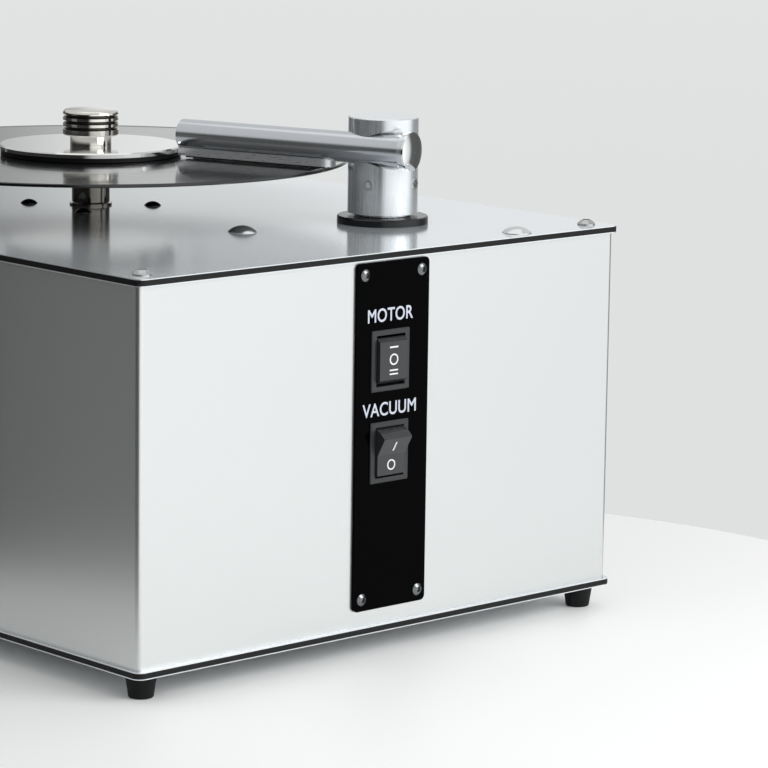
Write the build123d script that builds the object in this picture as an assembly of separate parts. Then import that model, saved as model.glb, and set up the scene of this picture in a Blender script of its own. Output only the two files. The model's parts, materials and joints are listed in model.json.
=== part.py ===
from build123d import *
import math
import os

# Record cleaning machine: a box casing on four rubber feet, a motor-driven spindle that
# carries a clamped 12 inch record, and a vacuum arm that swings over it on a round post.
# Millimetres. +Z is up and z = 0 is the floor. The switches face -Y and X runs to the
# right of someone who stands in front of them. x = 0 is the middle of the plates. y = 0
# is half way between the tip of the vacuum rocker and the far rim of the record.
# Places in plan are given from the plates' middle or left edge in X, and from their front
# edge in Y.

# ---- plates and casing ----------------------------------------------------------------
plate_width = 348.0
plate_depth = 370.0
plate_thickness = 4.0
skin_thickness = 0.5
plate_corner_radius = 5.0
side_overhang = 2.0
front_overhang = 3.0
casing_height = 200.0
wall = 3.0
fold_radius = 3.0
corner_bar_size = 16.0

# ---- feet and the corner fasteners ----------------------------------------------------
foot_height = 13.0
foot_top_radius = 8.6
foot_bottom_radius = 6.6
foot_edge_radius = 1.0
foot_recess_radius = 3.8
foot_recess_depth = 6.0
foot_screw_head_radius = 3.4
foot_screw_head_height = 2.4
m4_radius = 2.0
thread_clearance = 0.05
corner_head_radius = 5.0
corner_head_height = 3.2
corner_head_rim = 0.6
corner_screw_depth = 18.0
rear_head_radius = 3.6
rear_head_height = 2.0
rear_screw_depth = 10.0
rear_screw_heights = (50.0, 150.0)
hex_socket_depth = 1.2

# ---- control strip and switches -------------------------------------------------------
strip_width = 52.4
strip_thickness = 1.5
strip_corner_radius = 3.0
strip_x = 1.6
strip_below_deck = 5.2
strip_above_base = 8.8
strip_screw_side_inset = 5.7
strip_screw_end_inset = 6.5
strip_head_radius = 3.3
strip_head_height = 1.7
strip_screw_shank_radius = 1.5
strip_screw_length = 9.0
switch_x = -0.5
motor_switch_below_deck = 59.0
vacuum_switch_below_deck = 109.0
bezel_width = 27.6
bezel_height = 33.4
bezel_thickness = 1.0
bezel_corner_radius = 0.8
switch_body_width = 23.0
switch_body_height = 30.0
switch_body_depth = 21.0
switch_fit = 0.15
rocker_width = 20.0
rocker_side_gap = 0.35
rocker_swing_radius = 13.5
rocker_end_gap = 0.4
rocker_pivot_depth = 3.8
rocker_back = 3.5
rocker_valley = 5.4
rocker_lean = 15.0
motor_rocker_face = 6.2
motor_rocker_half_height = 10.4
motor_rocker_shoulder_depth = 3.2
motor_rocker_shoulder = 12.5
motor_rocker_back_half_height = 9.8
trunnion_radius = 1.5
trunnion_length = 0.9
blade_width = 6.3
blade_thickness = 0.8
blade_length = 8.0
blade_pitch = 7.0

# ---- spindle, record and clamp --------------------------------------------------------
spindle_x = -9.0
spindle_from_front = 250.0
record_radius = 150.5
record_above_deck = 28.0
record_thickness = 2.0
record_bead = 0.3
record_bead_width = 3.5
record_bead_slope = 2.0
record_label_slope = 1.0
record_edge_chamfer = 0.5
record_label_radius = 50.0
record_hole_radius = 3.65
spindle_post_radius = 11.0
spindle_pin_radius = 3.55
spindle_pin_above_record = 18.0
spindle_pin_chamfer = 1.0
spindle_post_chamfer = 0.5
spindle_tail_wall = 1.0
spindle_bush_radius = 12.3
spindle_bush_height = 1.2
spindle_socket_depth = 16.0
post_screw_radius = 2.0
post_screw_above_deck = 6.0
post_screw_sunk = 0.8
post_screw_count = 3
post_screw_bearing = -35.0
support_disc_radius = 50.0
support_disc_thickness = 4.0
support_disc_bevel = 2.0
support_disc_edge = 0.5
support_pad_inset = 1.0
support_pad_thickness = 2.0
support_pad_bore = 12.0
support_boss_radius = 9.0
cover_radius = 53.0
cover_thickness = 2.8
cover_chamfer = 0.8
seal_width = 4.0
seal_height = 2.6
seal_inset = 1.0
knob_neck_radius = 12.0
knob_neck_height = 5.0
knob_neck_flare = 0.6
knob_head_radius = 16.2
knob_head_height = 13.1
knob_bottom_chamfer = 0.5
knob_groove_count = 3
knob_groove_depth = 1.3
knob_groove_pitch = 4.2
knob_groove_width = 1.9
knob_first_groove = 1.7
knob_crown = 2.2
knob_crown_edge = 0.4
knob_socket_recess = 0.4
knob_pin_gap = 1.0
knob_spigot_radius = 6.0
knob_screw_radius = 1.5
knob_screw_length = 5.0
knob_screw_sunk = 0.3
knob_screw_bearing = -65.0

# ---- spindle drive --------------------------------------------------------------------
gear_head_size = 64.0
gear_head_height = 35.0
gear_head_corner = 6.0
motor_screw_pitch = 51.0
motor_cap_radius = 4.9
motor_cap_height = 2.4
motor_cap_rim = 0.2
motor_screw_depth = 14.0
drive_motor_radius = 29.0
drive_motor_height = 72.0
motor_rib_count = 3
motor_rib_pitch = 18.0
motor_rib_width = 8.0
motor_rib_depth = 1.5
drive_shaft_radius = 4.0
drive_shaft_in_gear_head = 31.0
drive_shaft_end_gap = 1.0
running_fit = 0.05

# ---- vacuum arm -----------------------------------------------------------------------
arm_x = 74.5
arm_from_front = 90.3
arm_heading = 107.2
arm_post_radius = 19.9
arm_post_top = 60.0
arm_post_foot_radius = 16.0
arm_post_foot_height = 1.4
arm_post_edge = 0.5
arm_ring_radius = 25.8
arm_ring_bore = 13.0
arm_ring_height = 4.2
arm_ring_edge = 0.6
arm_rest_gap = 0.3
arm_tube_radius = 8.8
arm_tube_wall = 1.5
arm_tube_above_deck = 43.0
arm_tube_offset = 14.7
countersink_radius = 12.0
countersink_depth = 20.0
arm_sleeve_radius = 10.3
arm_sleeve_length = 3.0
arm_sleeve_gap = 0.3
arm_plug_reach = 25.9
arm_plug_radius = 10.9
arm_plug_rim = 1.2
arm_plug_height = 2.8
arm_plug_spigot = 8.0
tip_clearance = 0.4
tip_plug_length = 3.5
tip_plug_sunk = 0.5
nozzle_half_width = 6.0
nozzle_past_record = 4.5
nozzle_below_axis = 7.2
nozzle_slot_width = 3.0
nozzle_slot_inset = 5.0
velvet_thickness = 0.9
velvet_gap = 0.3
velvet_width = 4.0
flat_depth = 0.35
flat_angle = 40.0
flat_tip_inset = 18.0
arm_screw_radius = 3.0
arm_screw_above_deck = 23.0
arm_screw_bearings = (-68.0, 203.0)
arm_screw_length = 6.0
arm_screw_proud = 0.4

# ---- arm pivot ------------------------------------------------------------------------
pivot_radius = 9.0
pivot_bore = 6.5
pivot_above_deck = 34.0
pivot_lift = 8.0
pivot_bush_radius = 12.0
pivot_bush_collar_radius = 15.0
pivot_bush_collar_height = 3.0
pivot_bush_tail = 8.0
pivot_bush_above_deck = 3.6
pivot_shoulder_radius = 11.0
pivot_shoulder_height = 1.2
pivot_collar_radius = 13.0
pivot_collar_height = 6.0
pivot_tail = 4.0
pivot_head_gap = 1.0
pivot_recess_gap = 1.0
arm_channel_wall = 1.0
arm_channel_radius = 6.0

# ---- waste tank and suction -----------------------------------------------------------
tank_x = 72.0
tank_from_front = 94.5
tank_radius = 72.0
tank_height = 117.0
tank_wall = 2.5
tank_lid_thickness = 5.0
tank_foot_chamfer = 4.0
dome_bolt_circle = 88.0
dome_bolt_bearing = 172.0
dome_bolt_count = 3
lug_radius = 6.0
dome_head_radius = 8.2
dome_head_height = 3.6
dome_head_rim = 0.3
dome_shank_radius = 2.5
dome_shank_length = 15.0
dome_nut_flats = 8.0
dome_nut_height = 4.0
turbine_x = 84.0
turbine_from_front = 200.0
turbine_below_deck = 71.0
turbine_radius = 58.0
turbine_length = 45.0
turbine_flange_thickness = 3.0
turbine_flange_proud = 2.0
turbine_edge = 5.0
turbine_eye_depth = 6.0
turbine_motor_radius = 38.0
turbine_motor_length = 70.0
turbine_motor_edge = 5.0
turbine_boss_radius = 12.5
turbine_boss_length = 8.0
duct_radius = 15.0
duct_wall = 2.0
duct_beside_tank_axis = 9.0
cradle_width = 84.0
cradle_thickness = 5.0
cradle_seat = 0.1
cradle_foot = 24.0
cradle_seam_gap = 4.0
drain_beside_tank_axis = 43.0
drain_above_tank_foot = 10.0
drain_pipe_radius = 6.0
drain_pipe_bore = 4.0
spout_flange_radius = 11.0
spout_flange_thickness = 2.5
spout_shank_radius = 8.5
spout_radius = 7.0
spout_length = 14.0

# ---- rear panel and electrics ---------------------------------------------------------
inlet_from_left = 90.0
inlet_above_base = 40.0
inlet_width = 31.0
inlet_height = 27.0
inlet_flange_thickness = 2.5
inlet_body_width = 27.0
inlet_body_height = 20.0
inlet_body_depth = 26.0
inlet_mouth_width = 24.0
inlet_mouth_height = 16.5
inlet_mouth_depth = 17.0
inlet_corner = 4.0
inlet_pin_length = 11.0
inlet_pin_pitch = 7.0
inlet_pin_offset = 2.0
inlet_pin_width = 2.0
inlet_pin_height = 4.0
vent_count = 9
vent_slot_width = 3.0
vent_slot_height = 44.0
vent_pitch = 8.0
vent_opening_width = 76.0
vent_opening_height = 52.0
vent_margin = 5.0
vent_plate_thickness = 1.5
vent_corner = 3.0
capacitor_radius = 15.0
capacitor_length = 48.0
capacitor_edge = 1.5
capacitor_stud_radius = 5.0
capacitor_stud_height = 5.0
capacitor_from_left = 70.0
capacitor_from_front = 190.0
terminal_from_left = 70.0
terminal_from_front = 130.0
terminal_length = 60.0
terminal_width = 20.0
terminal_height = 17.0
terminal_count = 5
terminal_screw_radius = 3.0
terminal_screw_depth = 4.0

# ---- levels and places that follow ----------------------------------------------------
base_top = foot_height + plate_thickness
casing_top = base_top + casing_height
deck = casing_top + plate_thickness
lean = math.radians(rocker_lean)
tip_height = (math.sqrt(rocker_swing_radius**2 - (rocker_valley * math.cos(lean)) ** 2)
              - rocker_valley * math.sin(lean)) * math.cos(lean)
tip_depth = rocker_valley + tip_height * math.tan(lean)
rocker_reach = (tip_depth * math.cos(lean) + tip_height * math.sin(lean)
                - rocker_pivot_depth + bezel_thickness + strip_thickness - front_overhang)
plate_front = -(spindle_from_front + record_radius - rocker_reach) / 2
casing_front = plate_front + front_overhang
casing_back = plate_front + plate_depth - front_overhang
casing_width = plate_width - 2 * side_overhang
casing_depth = plate_depth - 2 * front_overhang
corner_side_inset = side_overhang + wall + corner_bar_size / 2
corner_end_inset = front_overhang + wall + corner_bar_size / 2
strip_face = casing_front - strip_thickness
bezel_face = strip_face - bezel_thickness
record_bottom = deck + record_above_deck
record_top = record_bottom + record_thickness
cover_bottom = record_top + seal_height
cover_top = cover_bottom + cover_thickness
knob_screw_height = cover_top + knob_neck_height / 2
tank_lid_bottom = casing_top - tank_lid_thickness
turbine_height = deck - turbine_below_deck


def from_left(distance):
    """X of a place given by its distance from the left edge of the top plate."""
    return distance - plate_width / 2


def from_front(distance):
    """Y of a place given by its distance from the front edge of the top plate."""
    return plate_front + distance


spindle_y = from_front(spindle_from_front)
arm_y = from_front(arm_from_front)
tank_y = from_front(tank_from_front)
tank_foot = tank_lid_bottom - tank_height
turbine_y = from_front(turbine_from_front)
duct_x = tank_x + duct_beside_tank_axis
drain_x = tank_x - drain_beside_tank_axis
drain_height = tank_foot + drain_above_tank_foot
inlet_x = from_left(inlet_from_left)
inlet_z = base_top + inlet_above_base
capacitor_x = from_left(capacitor_from_left)
terminal_x = from_left(terminal_from_left)


# ---- shared shapes --------------------------------------------------------------------
def rod(radius, low, high, x=0.0, y=0.0):
    """Upright cylinder between two heights."""
    return Pos(x, y, (low + high) / 2) * Cylinder(radius, high - low)


def rod_along_y(radius, front, back, x, z):
    """Level cylinder that runs front to back."""
    return Pos(x, (front + back) / 2, z) * Rot(90, 0, 0) * Cylinder(radius, back - front)


def block(width, depth, low, high, x=0.0, y=0.0):
    """Upright box between two heights, centred on x and y."""
    return Pos(x, y, (low + high) / 2) * Box(width, depth, high - low)


def turned(corners):
    """Solid turned about the Z axis from (radius, height) corners."""
    return revolve(make_face(Plane.XZ * Polyline(*corners, close=True)), Axis.Z)


def dome(radius, rim, height):
    """Low round head on z = 0: a straight rim under a spherical cap."""
    cap = height - rim
    ball_radius = (radius**2 + cap**2) / (2 * cap)
    return (Pos(0, 0, height - ball_radius) * Sphere(ball_radius)) & rod(radius, 0, height)


def socket_head(radius, rim, height):
    """Button head on z = 0 with a hexagon socket in its crown."""
    hexagon = extrude(RegularPolygon(radius * 0.5, 6), hex_socket_depth)
    return dome(radius, rim, height) - Pos(0, 0, height - hex_socket_depth) * hexagon


def slab(low, high, corner, width, depth, x, y):
    """Level plate with rounded corners between two heights."""
    return Pos(x, y, low) * extrude(RectangleRounded(width, depth, corner), high - low)


def four(x_half, y_half, x=0.0, y=0.0):
    """The four corners of a rectangle."""
    return [(x + i * x_half, y + j * y_half) for i in (-1, 1) for j in (-1, 1)]


def ring_of(count, radius, first_bearing, x, y):
    """Places spaced evenly on a circle."""
    bearings = [math.radians(first_bearing + i * 360 / count) for i in range(count)]
    return [(x + radius * math.cos(b), y + radius * math.sin(b)) for b in bearings]


corners = four(plate_width / 2 - corner_side_inset, plate_depth / 2 - corner_end_inset,
               0, plate_front + plate_depth / 2)
rear_corners = [place for place in corners if place[1] > plate_front + plate_depth / 2]
dome_bolt_places = ring_of(dome_bolt_count, dome_bolt_circle, dome_bolt_bearing, tank_x, tank_y)
motor_screw_places = four(motor_screw_pitch / 2, motor_screw_pitch / 2, spindle_x, spindle_y)
switch_heights = (deck - motor_switch_below_deck, deck - vacuum_switch_below_deck)
strip_height = deck - strip_below_deck - base_top - strip_above_base
strip_middle = deck - strip_below_deck - strip_height / 2
strip_screw_places = four(strip_width / 2 - strip_screw_side_inset,
                          strip_height / 2 - strip_screw_end_inset, strip_x, strip_middle)


# ---- plates, casing and feet ----------------------------------------------------------
def plate_layer(low, high, holes):
    """One layer of a composite plate, with (radius, x, y) holes through it."""
    layer = slab(low, high, plate_corner_radius, plate_width, plate_depth,
                 0, plate_front + plate_depth / 2)
    for radius, x, y in holes:
        layer -= rod(radius, low - 1, high + 1, x, y)
    return layer


def composite_plate(low, holes):
    """Core and pair of skins of a plate that starts at height low."""
    high = low + plate_thickness
    core = plate_layer(low + skin_thickness, high - skin_thickness, holes)
    skins = [plate_layer(low, low + skin_thickness, holes),
             plate_layer(high - skin_thickness, high, holes)]
    return core, skins


def casing_wrap():
    """Front and both sides, folded from one sheet, open at the back."""
    middle = casing_front + casing_depth / 2
    outer = block(casing_width, casing_depth, base_top, casing_top, 0, middle)
    front_edges = outer.edges().filter_by(Axis.Z).sort_by(Axis.Y)[:2]
    outer = fillet(front_edges, fold_radius)
    inner = block(casing_width - 2 * wall, casing_depth, base_top - 1, casing_top + 1,
                  0, middle + wall)
    wrap = outer - inner
    for height in switch_heights:
        wrap -= Pos(switch_x, casing_front, height) * Box(
            switch_body_width + 2 * switch_fit, 4 * wall, switch_body_height + 2 * switch_fit)
    for x, z in strip_screw_places:
        wrap -= rod_along_y(strip_screw_shank_radius + thread_clearance,
                            casing_front - 1, casing_front + wall + 1, x, z)
    return wrap


def rear_panel():
    """Flat back between the side walls, with openings for the exhaust, inlet and drain."""
    panel = block(casing_width - 2 * wall, wall, base_top, casing_top, 0, casing_back - wall / 2)
    panel -= Pos(turbine_x, casing_back, turbine_height) * Box(
        vent_opening_width, 4 * wall, vent_opening_height)
    panel -= Pos(inlet_x, casing_back, inlet_z) * Box(
        inlet_body_width + 2 * switch_fit, 4 * wall, inlet_body_height + 2 * switch_fit)
    panel -= rod_along_y(spout_shank_radius + thread_clearance, casing_back - 2 * wall,
                         casing_back + 1, drain_x, drain_height)
    for x, y in rear_corners:
        for height in rear_screw_heights:
            panel -= rod_along_y(m4_radius + thread_clearance, casing_back - 2 * wall,
                                 casing_back + 1, x, base_top + height)
    return panel


def vent_grille():
    """Slotted plate over the exhaust opening of the rear panel."""
    plate = extrude(RectangleRounded(vent_opening_width + 2 * vent_margin,
                                     vent_opening_height + 2 * vent_margin, vent_corner),
                    vent_plate_thickness)
    for i in range(vent_count):
        slot = extrude(SlotOverall(vent_slot_height, vent_slot_width, rotation=90),
                       2 * vent_plate_thickness, both=True)
        plate -= Pos((i - (vent_count - 1) / 2) * vent_pitch, 0, 0) * slot
    return Pos(turbine_x, casing_back, turbine_height) * Rot(-90, 0, 0) * plate


def corner_bar(x, y):
    """Square aluminium bar that ties the plates together at one corner."""
    bar = block(corner_bar_size, corner_bar_size, base_top, casing_top, x, y)
    hole = m4_radius + thread_clearance
    bar -= rod(hole, casing_top - corner_screw_depth, casing_top + 1, x, y)
    bar -= rod(hole, base_top - 1, base_top + corner_screw_depth, x, y)
    if (x, y) in rear_corners:
        for height in rear_screw_heights:
            bar -= rod_along_y(hole, y, y + corner_bar_size, x, base_top + height)
    return bar


def foot(x, y):
    """Tapered rubber foot with a recess for its screw."""
    body = turned([(m4_radius + thread_clearance, foot_recess_depth),
                   (foot_recess_radius, foot_recess_depth), (foot_recess_radius, 0),
                   (foot_bottom_radius, 0), (foot_top_radius, foot_height),
                   (m4_radius + thread_clearance, foot_height)])
    rim = body.edges().filter_by(GeomType.CIRCLE).group_by(Axis.Z)[0].sort_by(SortBy.RADIUS)[-1]
    return Pos(x, y, 0) * fillet(rim, foot_edge_radius)


def foot_screw(x, y):
    """Pan head screw from the foot's recess up into the corner bar."""
    head_low = foot_recess_depth - foot_screw_head_height
    head = rod(foot_screw_head_radius, head_low, foot_recess_depth)
    shank = rod(m4_radius, foot_recess_depth, base_top + corner_screw_depth - 1)
    return Pos(x, y, 0) * (head + shank)


def corner_screw(x, y):
    """Button head screw on the top plate, into the corner bar."""
    head = Pos(0, 0, deck) * socket_head(corner_head_radius, corner_head_rim, corner_head_height)
    return Pos(x, y, 0) * (head + rod(m4_radius, casing_top - corner_screw_depth + 1, deck))


def screw_facing(direction, radius, head_height, shank_radius, length, x, face, z):
    """Button head screw seated on an upright face: direction is -1 for the front, 1 for the back."""
    head = socket_head(radius, 0.4, head_height)
    screw = head + rod(shank_radius, -length, 0)
    return Pos(x, face, z) * Rot(-90 * direction, 0, 0) * screw


# ---- control strip and switches -------------------------------------------------------
def control_strip():
    """Gloss black plate on the front that carries both switches."""
    strip = extrude(RectangleRounded(strip_width, strip_height, strip_corner_radius),
                    strip_thickness)
    strip = Pos(strip_x, casing_front, strip_middle) * Rot(90, 0, 0) * strip
    for height in switch_heights:
        strip -= Pos(switch_x, casing_front, height) * Box(
            switch_body_width + 2 * switch_fit, 4 * strip_thickness,
            switch_body_height + 2 * switch_fit)
    for x, z in strip_screw_places:
        strip -= rod_along_y(strip_screw_shank_radius + thread_clearance,
                             strip_face - 1, casing_front + 1, x, z)
    return strip


def switch_body(height):
    """Bezel and box of a snap-in rocker switch, with spade blades at the back."""
    bezel = extrude(RectangleRounded(bezel_width, bezel_height, bezel_corner_radius),
                    bezel_thickness)
    front_edges = bezel.faces().sort_by(Axis.Z)[-1].edges()
    bezel = chamfer(front_edges, bezel_corner_radius / 2)
    body = Pos(0, 0, -switch_body_depth / 2) * Box(
        switch_body_width, switch_body_height, switch_body_depth)
    body = bezel + body
    well_width = rocker_width + 2 * rocker_side_gap
    well_height = 2 * (rocker_swing_radius + rocker_end_gap)
    well_floor = bezel_thickness - rocker_pivot_depth - rocker_swing_radius * math.cos(lean)
    body -= Pos(0, 0, (well_floor + bezel_thickness + 1) / 2) * Box(
        well_width, well_height, bezel_thickness + 1 - well_floor)
    pivot_hole = Rot(0, 90, 0) * Cylinder(
        trunnion_radius + running_fit, rocker_width + 2 * trunnion_length + 2 * running_fit)
    body -= Pos(0, 0, bezel_thickness - rocker_pivot_depth) * pivot_hole
    for i in (-1, 0, 1):
        body += Pos(0, i * blade_pitch, -switch_body_depth - blade_length / 2) * Box(
            blade_width, blade_thickness, blade_length)
    return Pos(switch_x, strip_face, height) * Rot(90, 0, 0) * body


def rocker(outline, lean_angle, height):
    """Rocker from its side outline (out, up) about the pivot, with two trunnions."""
    bar = extrude(Plane.YZ * outline, rocker_width / 2, both=True)
    pin = Rot(0, 90, 0) * Cylinder(trunnion_radius, rocker_width + 2 * trunnion_length)
    return (Pos(switch_x, bezel_face + rocker_pivot_depth, height)
            * Rot(lean_angle, 0, 0) * (bar + pin))


def vacuum_rocker_outline():
    """Two faces that meet in a shallow valley, inside the circle that the tips swing on."""
    disc = Circle(rocker_swing_radius)
    rise = 2 * rocker_swing_radius * math.tan(lean)
    keep = Polygon((rocker_back, -2 * rocker_swing_radius),
                   (-rocker_valley - rise, -2 * rocker_swing_radius),
                   (-rocker_valley, 0),
                   (-rocker_valley - rise, 2 * rocker_swing_radius),
                   (rocker_back, 2 * rocker_swing_radius), align=None)
    return disc & keep


def motor_rocker_outline():
    """One flat face with bevelled ends: the middle position is off."""
    top = [(-motor_rocker_face, motor_rocker_half_height),
           (-motor_rocker_shoulder_depth, motor_rocker_shoulder),
           (rocker_back, motor_rocker_back_half_height)]
    bottom = [(out, -up) for out, up in reversed(top)]
    return Polygon(*top, *bottom, align=None)


# ---- spindle, record and clamp --------------------------------------------------------
def at_spindle(solid):
    return Pos(spindle_x, spindle_y, 0) * solid


def spindle_bush():
    """Thin flanged ring in the plate that the spindle post turns in."""
    bore = drive_shaft_radius + running_fit
    tail = spindle_post_radius - spindle_tail_wall
    return at_spindle(turned([(bore, casing_top), (tail, casing_top), (tail, deck),
                              (spindle_bush_radius, deck),
                              (spindle_bush_radius, deck + spindle_bush_height),
                              (bore, deck + spindle_bush_height)]))


def spindle_post():
    """Stainless post with the record's seat and the centre pin, bored for the drive shaft."""
    low = deck + spindle_bush_height + arm_rest_gap
    seat = record_bottom - support_pad_thickness - support_disc_thickness
    pin_top = record_top + spindle_pin_above_record
    bore = drive_shaft_radius + thread_clearance
    shoulder = record_bottom - support_pad_thickness
    chamfer_low = low + spindle_post_chamfer
    chamfer_pin = pin_top - spindle_pin_chamfer
    post = turned([(bore, low), (spindle_post_radius - spindle_post_chamfer, low),
                   (spindle_post_radius, chamfer_low), (spindle_post_radius, seat),
                   (support_boss_radius, seat), (support_boss_radius, shoulder),
                   (spindle_pin_radius, shoulder), (spindle_pin_radius, chamfer_pin),
                   (spindle_pin_radius - spindle_pin_chamfer, pin_top), (0, pin_top),
                   (0, low + spindle_socket_depth), (bore, low + spindle_socket_depth)])
    for x, y in ring_of(post_screw_count, (spindle_post_radius + bore) / 2,
                        post_screw_bearing, 0, 0):
        hole = Cylinder(post_screw_radius + thread_clearance, spindle_post_radius - bore + 2)
        bearing = math.degrees(math.atan2(y, x))
        post -= Pos(x, y, deck + post_screw_above_deck) * Rot(0, 0, bearing) * Rot(0, 90, 0) * hole
    return at_spindle(post)


def post_screws():
    """Three grub screws that lock the post on the drive shaft."""
    inner = drive_shaft_radius + running_fit
    outer = spindle_post_radius - post_screw_sunk
    grubs = []
    for x, y in ring_of(post_screw_count, (outer + inner) / 2, post_screw_bearing, 0, 0):
        grub = Rot(0, 90, 0) * Cylinder(post_screw_radius, outer - inner)
        bearing = math.degrees(math.atan2(y, x))
        grubs.append(at_spindle(Pos(x, y, deck + post_screw_above_deck)
                                * Rot(0, 0, bearing) * grub))
    return grubs


def drive_shaft():
    """Output shaft of the gear head, up into the spindle post."""
    low = casing_top - drive_shaft_in_gear_head
    high = deck + spindle_bush_height + arm_rest_gap + spindle_socket_depth
    return at_spindle(rod(drive_shaft_radius, low, high - drive_shaft_end_gap))


def support_disc():
    """Round table under the label, with a turned hub that sits on the post."""
    high = record_bottom - support_pad_thickness
    low = high - support_disc_thickness
    hub = support_boss_radius + thread_clearance
    rim = support_disc_radius
    return at_spindle(turned([(hub, low), (rim - support_disc_bevel, low),
                              (rim, low + support_disc_bevel), (rim, high - support_disc_edge),
                              (rim - support_disc_edge, high), (hub, high)]))


def support_pad():
    """Soft ring between the table and the record."""
    low = record_bottom - support_pad_thickness
    return at_spindle(rod(support_disc_radius - support_pad_inset, low, record_bottom)
                      - rod(support_pad_bore, low - 1, record_bottom + 1))


def record():
    """12 inch disc: thicker at the label and at the rim bead than in the playing area."""
    edge = record_radius
    bead = edge - record_bead_width
    label = record_label_radius
    middle = (record_bottom + record_top) / 2
    half = record_thickness / 2
    side = [(record_hole_radius, half), (label, half),
            (label + record_label_slope, half - record_bead), (bead, half - record_bead),
            (bead + record_bead_slope, half), (edge - record_edge_chamfer, half),
            (edge, half - record_edge_chamfer)]
    other_side = [(radius, -up) for radius, up in reversed(side)]
    return at_spindle(Pos(0, 0, middle) * turned(side + other_side))


def cover_seal():
    """Soft ring that keeps fluid off the label."""
    outer = cover_radius - seal_inset
    return at_spindle(rod(outer, record_top, cover_bottom)
                      - rod(outer - seal_width, record_top - 1, cover_bottom + 1))


def label_cover():
    """Aluminium disc over the label, bored for the knob's spigot."""
    bore = knob_spigot_radius + thread_clearance
    return at_spindle(turned([(bore, cover_bottom), (cover_radius, cover_bottom),
                              (cover_radius, cover_top - cover_chamfer),
                              (cover_radius - cover_chamfer, cover_top), (bore, cover_top)]))


def clamp_knob():
    """Turned knob: slim neck, ribbed head with three grooves, and a domed crown."""
    neck_top = cover_top + knob_neck_height
    rim = neck_top + knob_head_height
    bore = spindle_pin_radius + running_fit
    pin_top = record_top + spindle_pin_above_record + knob_pin_gap
    spigot_low = cover_bottom + knob_socket_recess
    side = [(0, pin_top), (bore, pin_top), (bore, spigot_low), (knob_spigot_radius, spigot_low),
            (knob_spigot_radius, cover_top), (knob_neck_radius, cover_top),
            (knob_neck_radius, neck_top - knob_neck_flare),
            (knob_neck_radius + knob_neck_flare, neck_top),
            (knob_head_radius - knob_bottom_chamfer, neck_top),
            (knob_head_radius, neck_top + knob_bottom_chamfer)]
    floor = knob_head_radius - knob_groove_depth
    for i in reversed(range(knob_groove_count)):
        middle = rim - knob_first_groove - knob_groove_pitch * i
        side += [(knob_head_radius, middle - knob_groove_width / 2),
                 (floor, middle - knob_groove_width / 4),
                 (floor, middle + knob_groove_width / 4),
                 (knob_head_radius, middle + knob_groove_width / 2)]
    side += [(knob_head_radius, rim), (0, rim)]
    crown = Pos(0, 0, rim) * dome(knob_head_radius - knob_crown_edge, 0.0, knob_crown)
    knob = turned(side) + crown
    hole = Rot(0, 90, 0) * Cylinder(knob_screw_radius + thread_clearance,
                                    2 * knob_screw_length + 2)
    return at_spindle(Rot(0, 0, knob_screw_bearing) * (
        knob - Pos(knob_neck_radius, 0, knob_screw_height) * hole))


def knob_screw():
    """Grub screw in the neck of the knob."""
    grub = Rot(0, 90, 0) * Cylinder(knob_screw_radius, knob_screw_length)
    middle = knob_neck_radius - knob_screw_length / 2 - knob_screw_sunk
    return at_spindle(Rot(0, 0, knob_screw_bearing) * Pos(middle, 0, knob_screw_height) * grub)


# ---- spindle drive --------------------------------------------------------------------
def gear_head():
    """Square gear head that hangs under the plate on the four capped screws."""
    low = casing_top - gear_head_height
    head = slab(low, casing_top, gear_head_corner, gear_head_size, gear_head_size, 0, 0)
    head -= rod(drive_shaft_radius + running_fit,
                casing_top - drive_shaft_in_gear_head - arm_rest_gap, casing_top + 1)
    for x, y in four(motor_screw_pitch / 2, motor_screw_pitch / 2):
        head -= rod(m4_radius + thread_clearance, casing_top - motor_screw_depth,
                    casing_top + 1, x, y)
    return at_spindle(head)


def drive_motor():
    """Ribbed round motor under the gear head."""
    high = casing_top - gear_head_height
    motor = rod(drive_motor_radius, high - drive_motor_height, high)
    for i in range(motor_rib_count):
        middle = high - motor_rib_pitch * (i + 1)
        motor -= (rod(drive_motor_radius + 1, middle - motor_rib_width / 2,
                      middle + motor_rib_width / 2)
                  - rod(drive_motor_radius - motor_rib_depth, middle - motor_rib_width,
                        middle + motor_rib_width))
    return at_spindle(motor)


def motor_screw(x, y):
    """Black domed screw that holds the gear head to the top plate."""
    head = Pos(0, 0, deck) * dome(motor_cap_radius, motor_cap_rim, motor_cap_height)
    return Pos(x, y, 0) * (head + rod(m4_radius, casing_top - motor_screw_depth + 1, deck))


# ---- vacuum arm -----------------------------------------------------------------------
# The arm is drawn about its post with the tube along +Y, then turned to its heading.
heading = math.radians(arm_heading)
to_spindle = (spindle_x - arm_x, spindle_y - arm_y)
spindle_ahead = to_spindle[0] * math.cos(heading) + to_spindle[1] * math.sin(heading)
spindle_aside = -to_spindle[0] * math.sin(heading) + to_spindle[1] * math.cos(heading)
tip_gap = cover_radius + tip_clearance
tip_side = spindle_aside - arm_tube_offset - arm_tube_radius
tip_reach = spindle_ahead - math.sqrt(tip_gap**2 - tip_side**2)
record_edge_ahead = spindle_ahead - math.sqrt(
    record_radius**2 - (spindle_aside - arm_tube_offset) ** 2)
nozzle_root = record_edge_ahead - nozzle_past_record
tube_axis = deck + arm_tube_above_deck
nozzle_bottom = record_top + velvet_gap + velvet_thickness
post_low = deck + arm_ring_height + arm_rest_gap
nozzle_length = tip_reach - nozzle_root
nozzle_middle = (tip_reach + nozzle_root) / 2


def at_arm(solid):
    return Pos(arm_x, arm_y, 0) * Rot(0, 0, arm_heading - 90) * solid


def tube_rod(radius, near, far):
    """Level cylinder on the axis of the arm tube."""
    return rod_along_y(radius, near, far, -arm_tube_offset, tube_axis)


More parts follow.
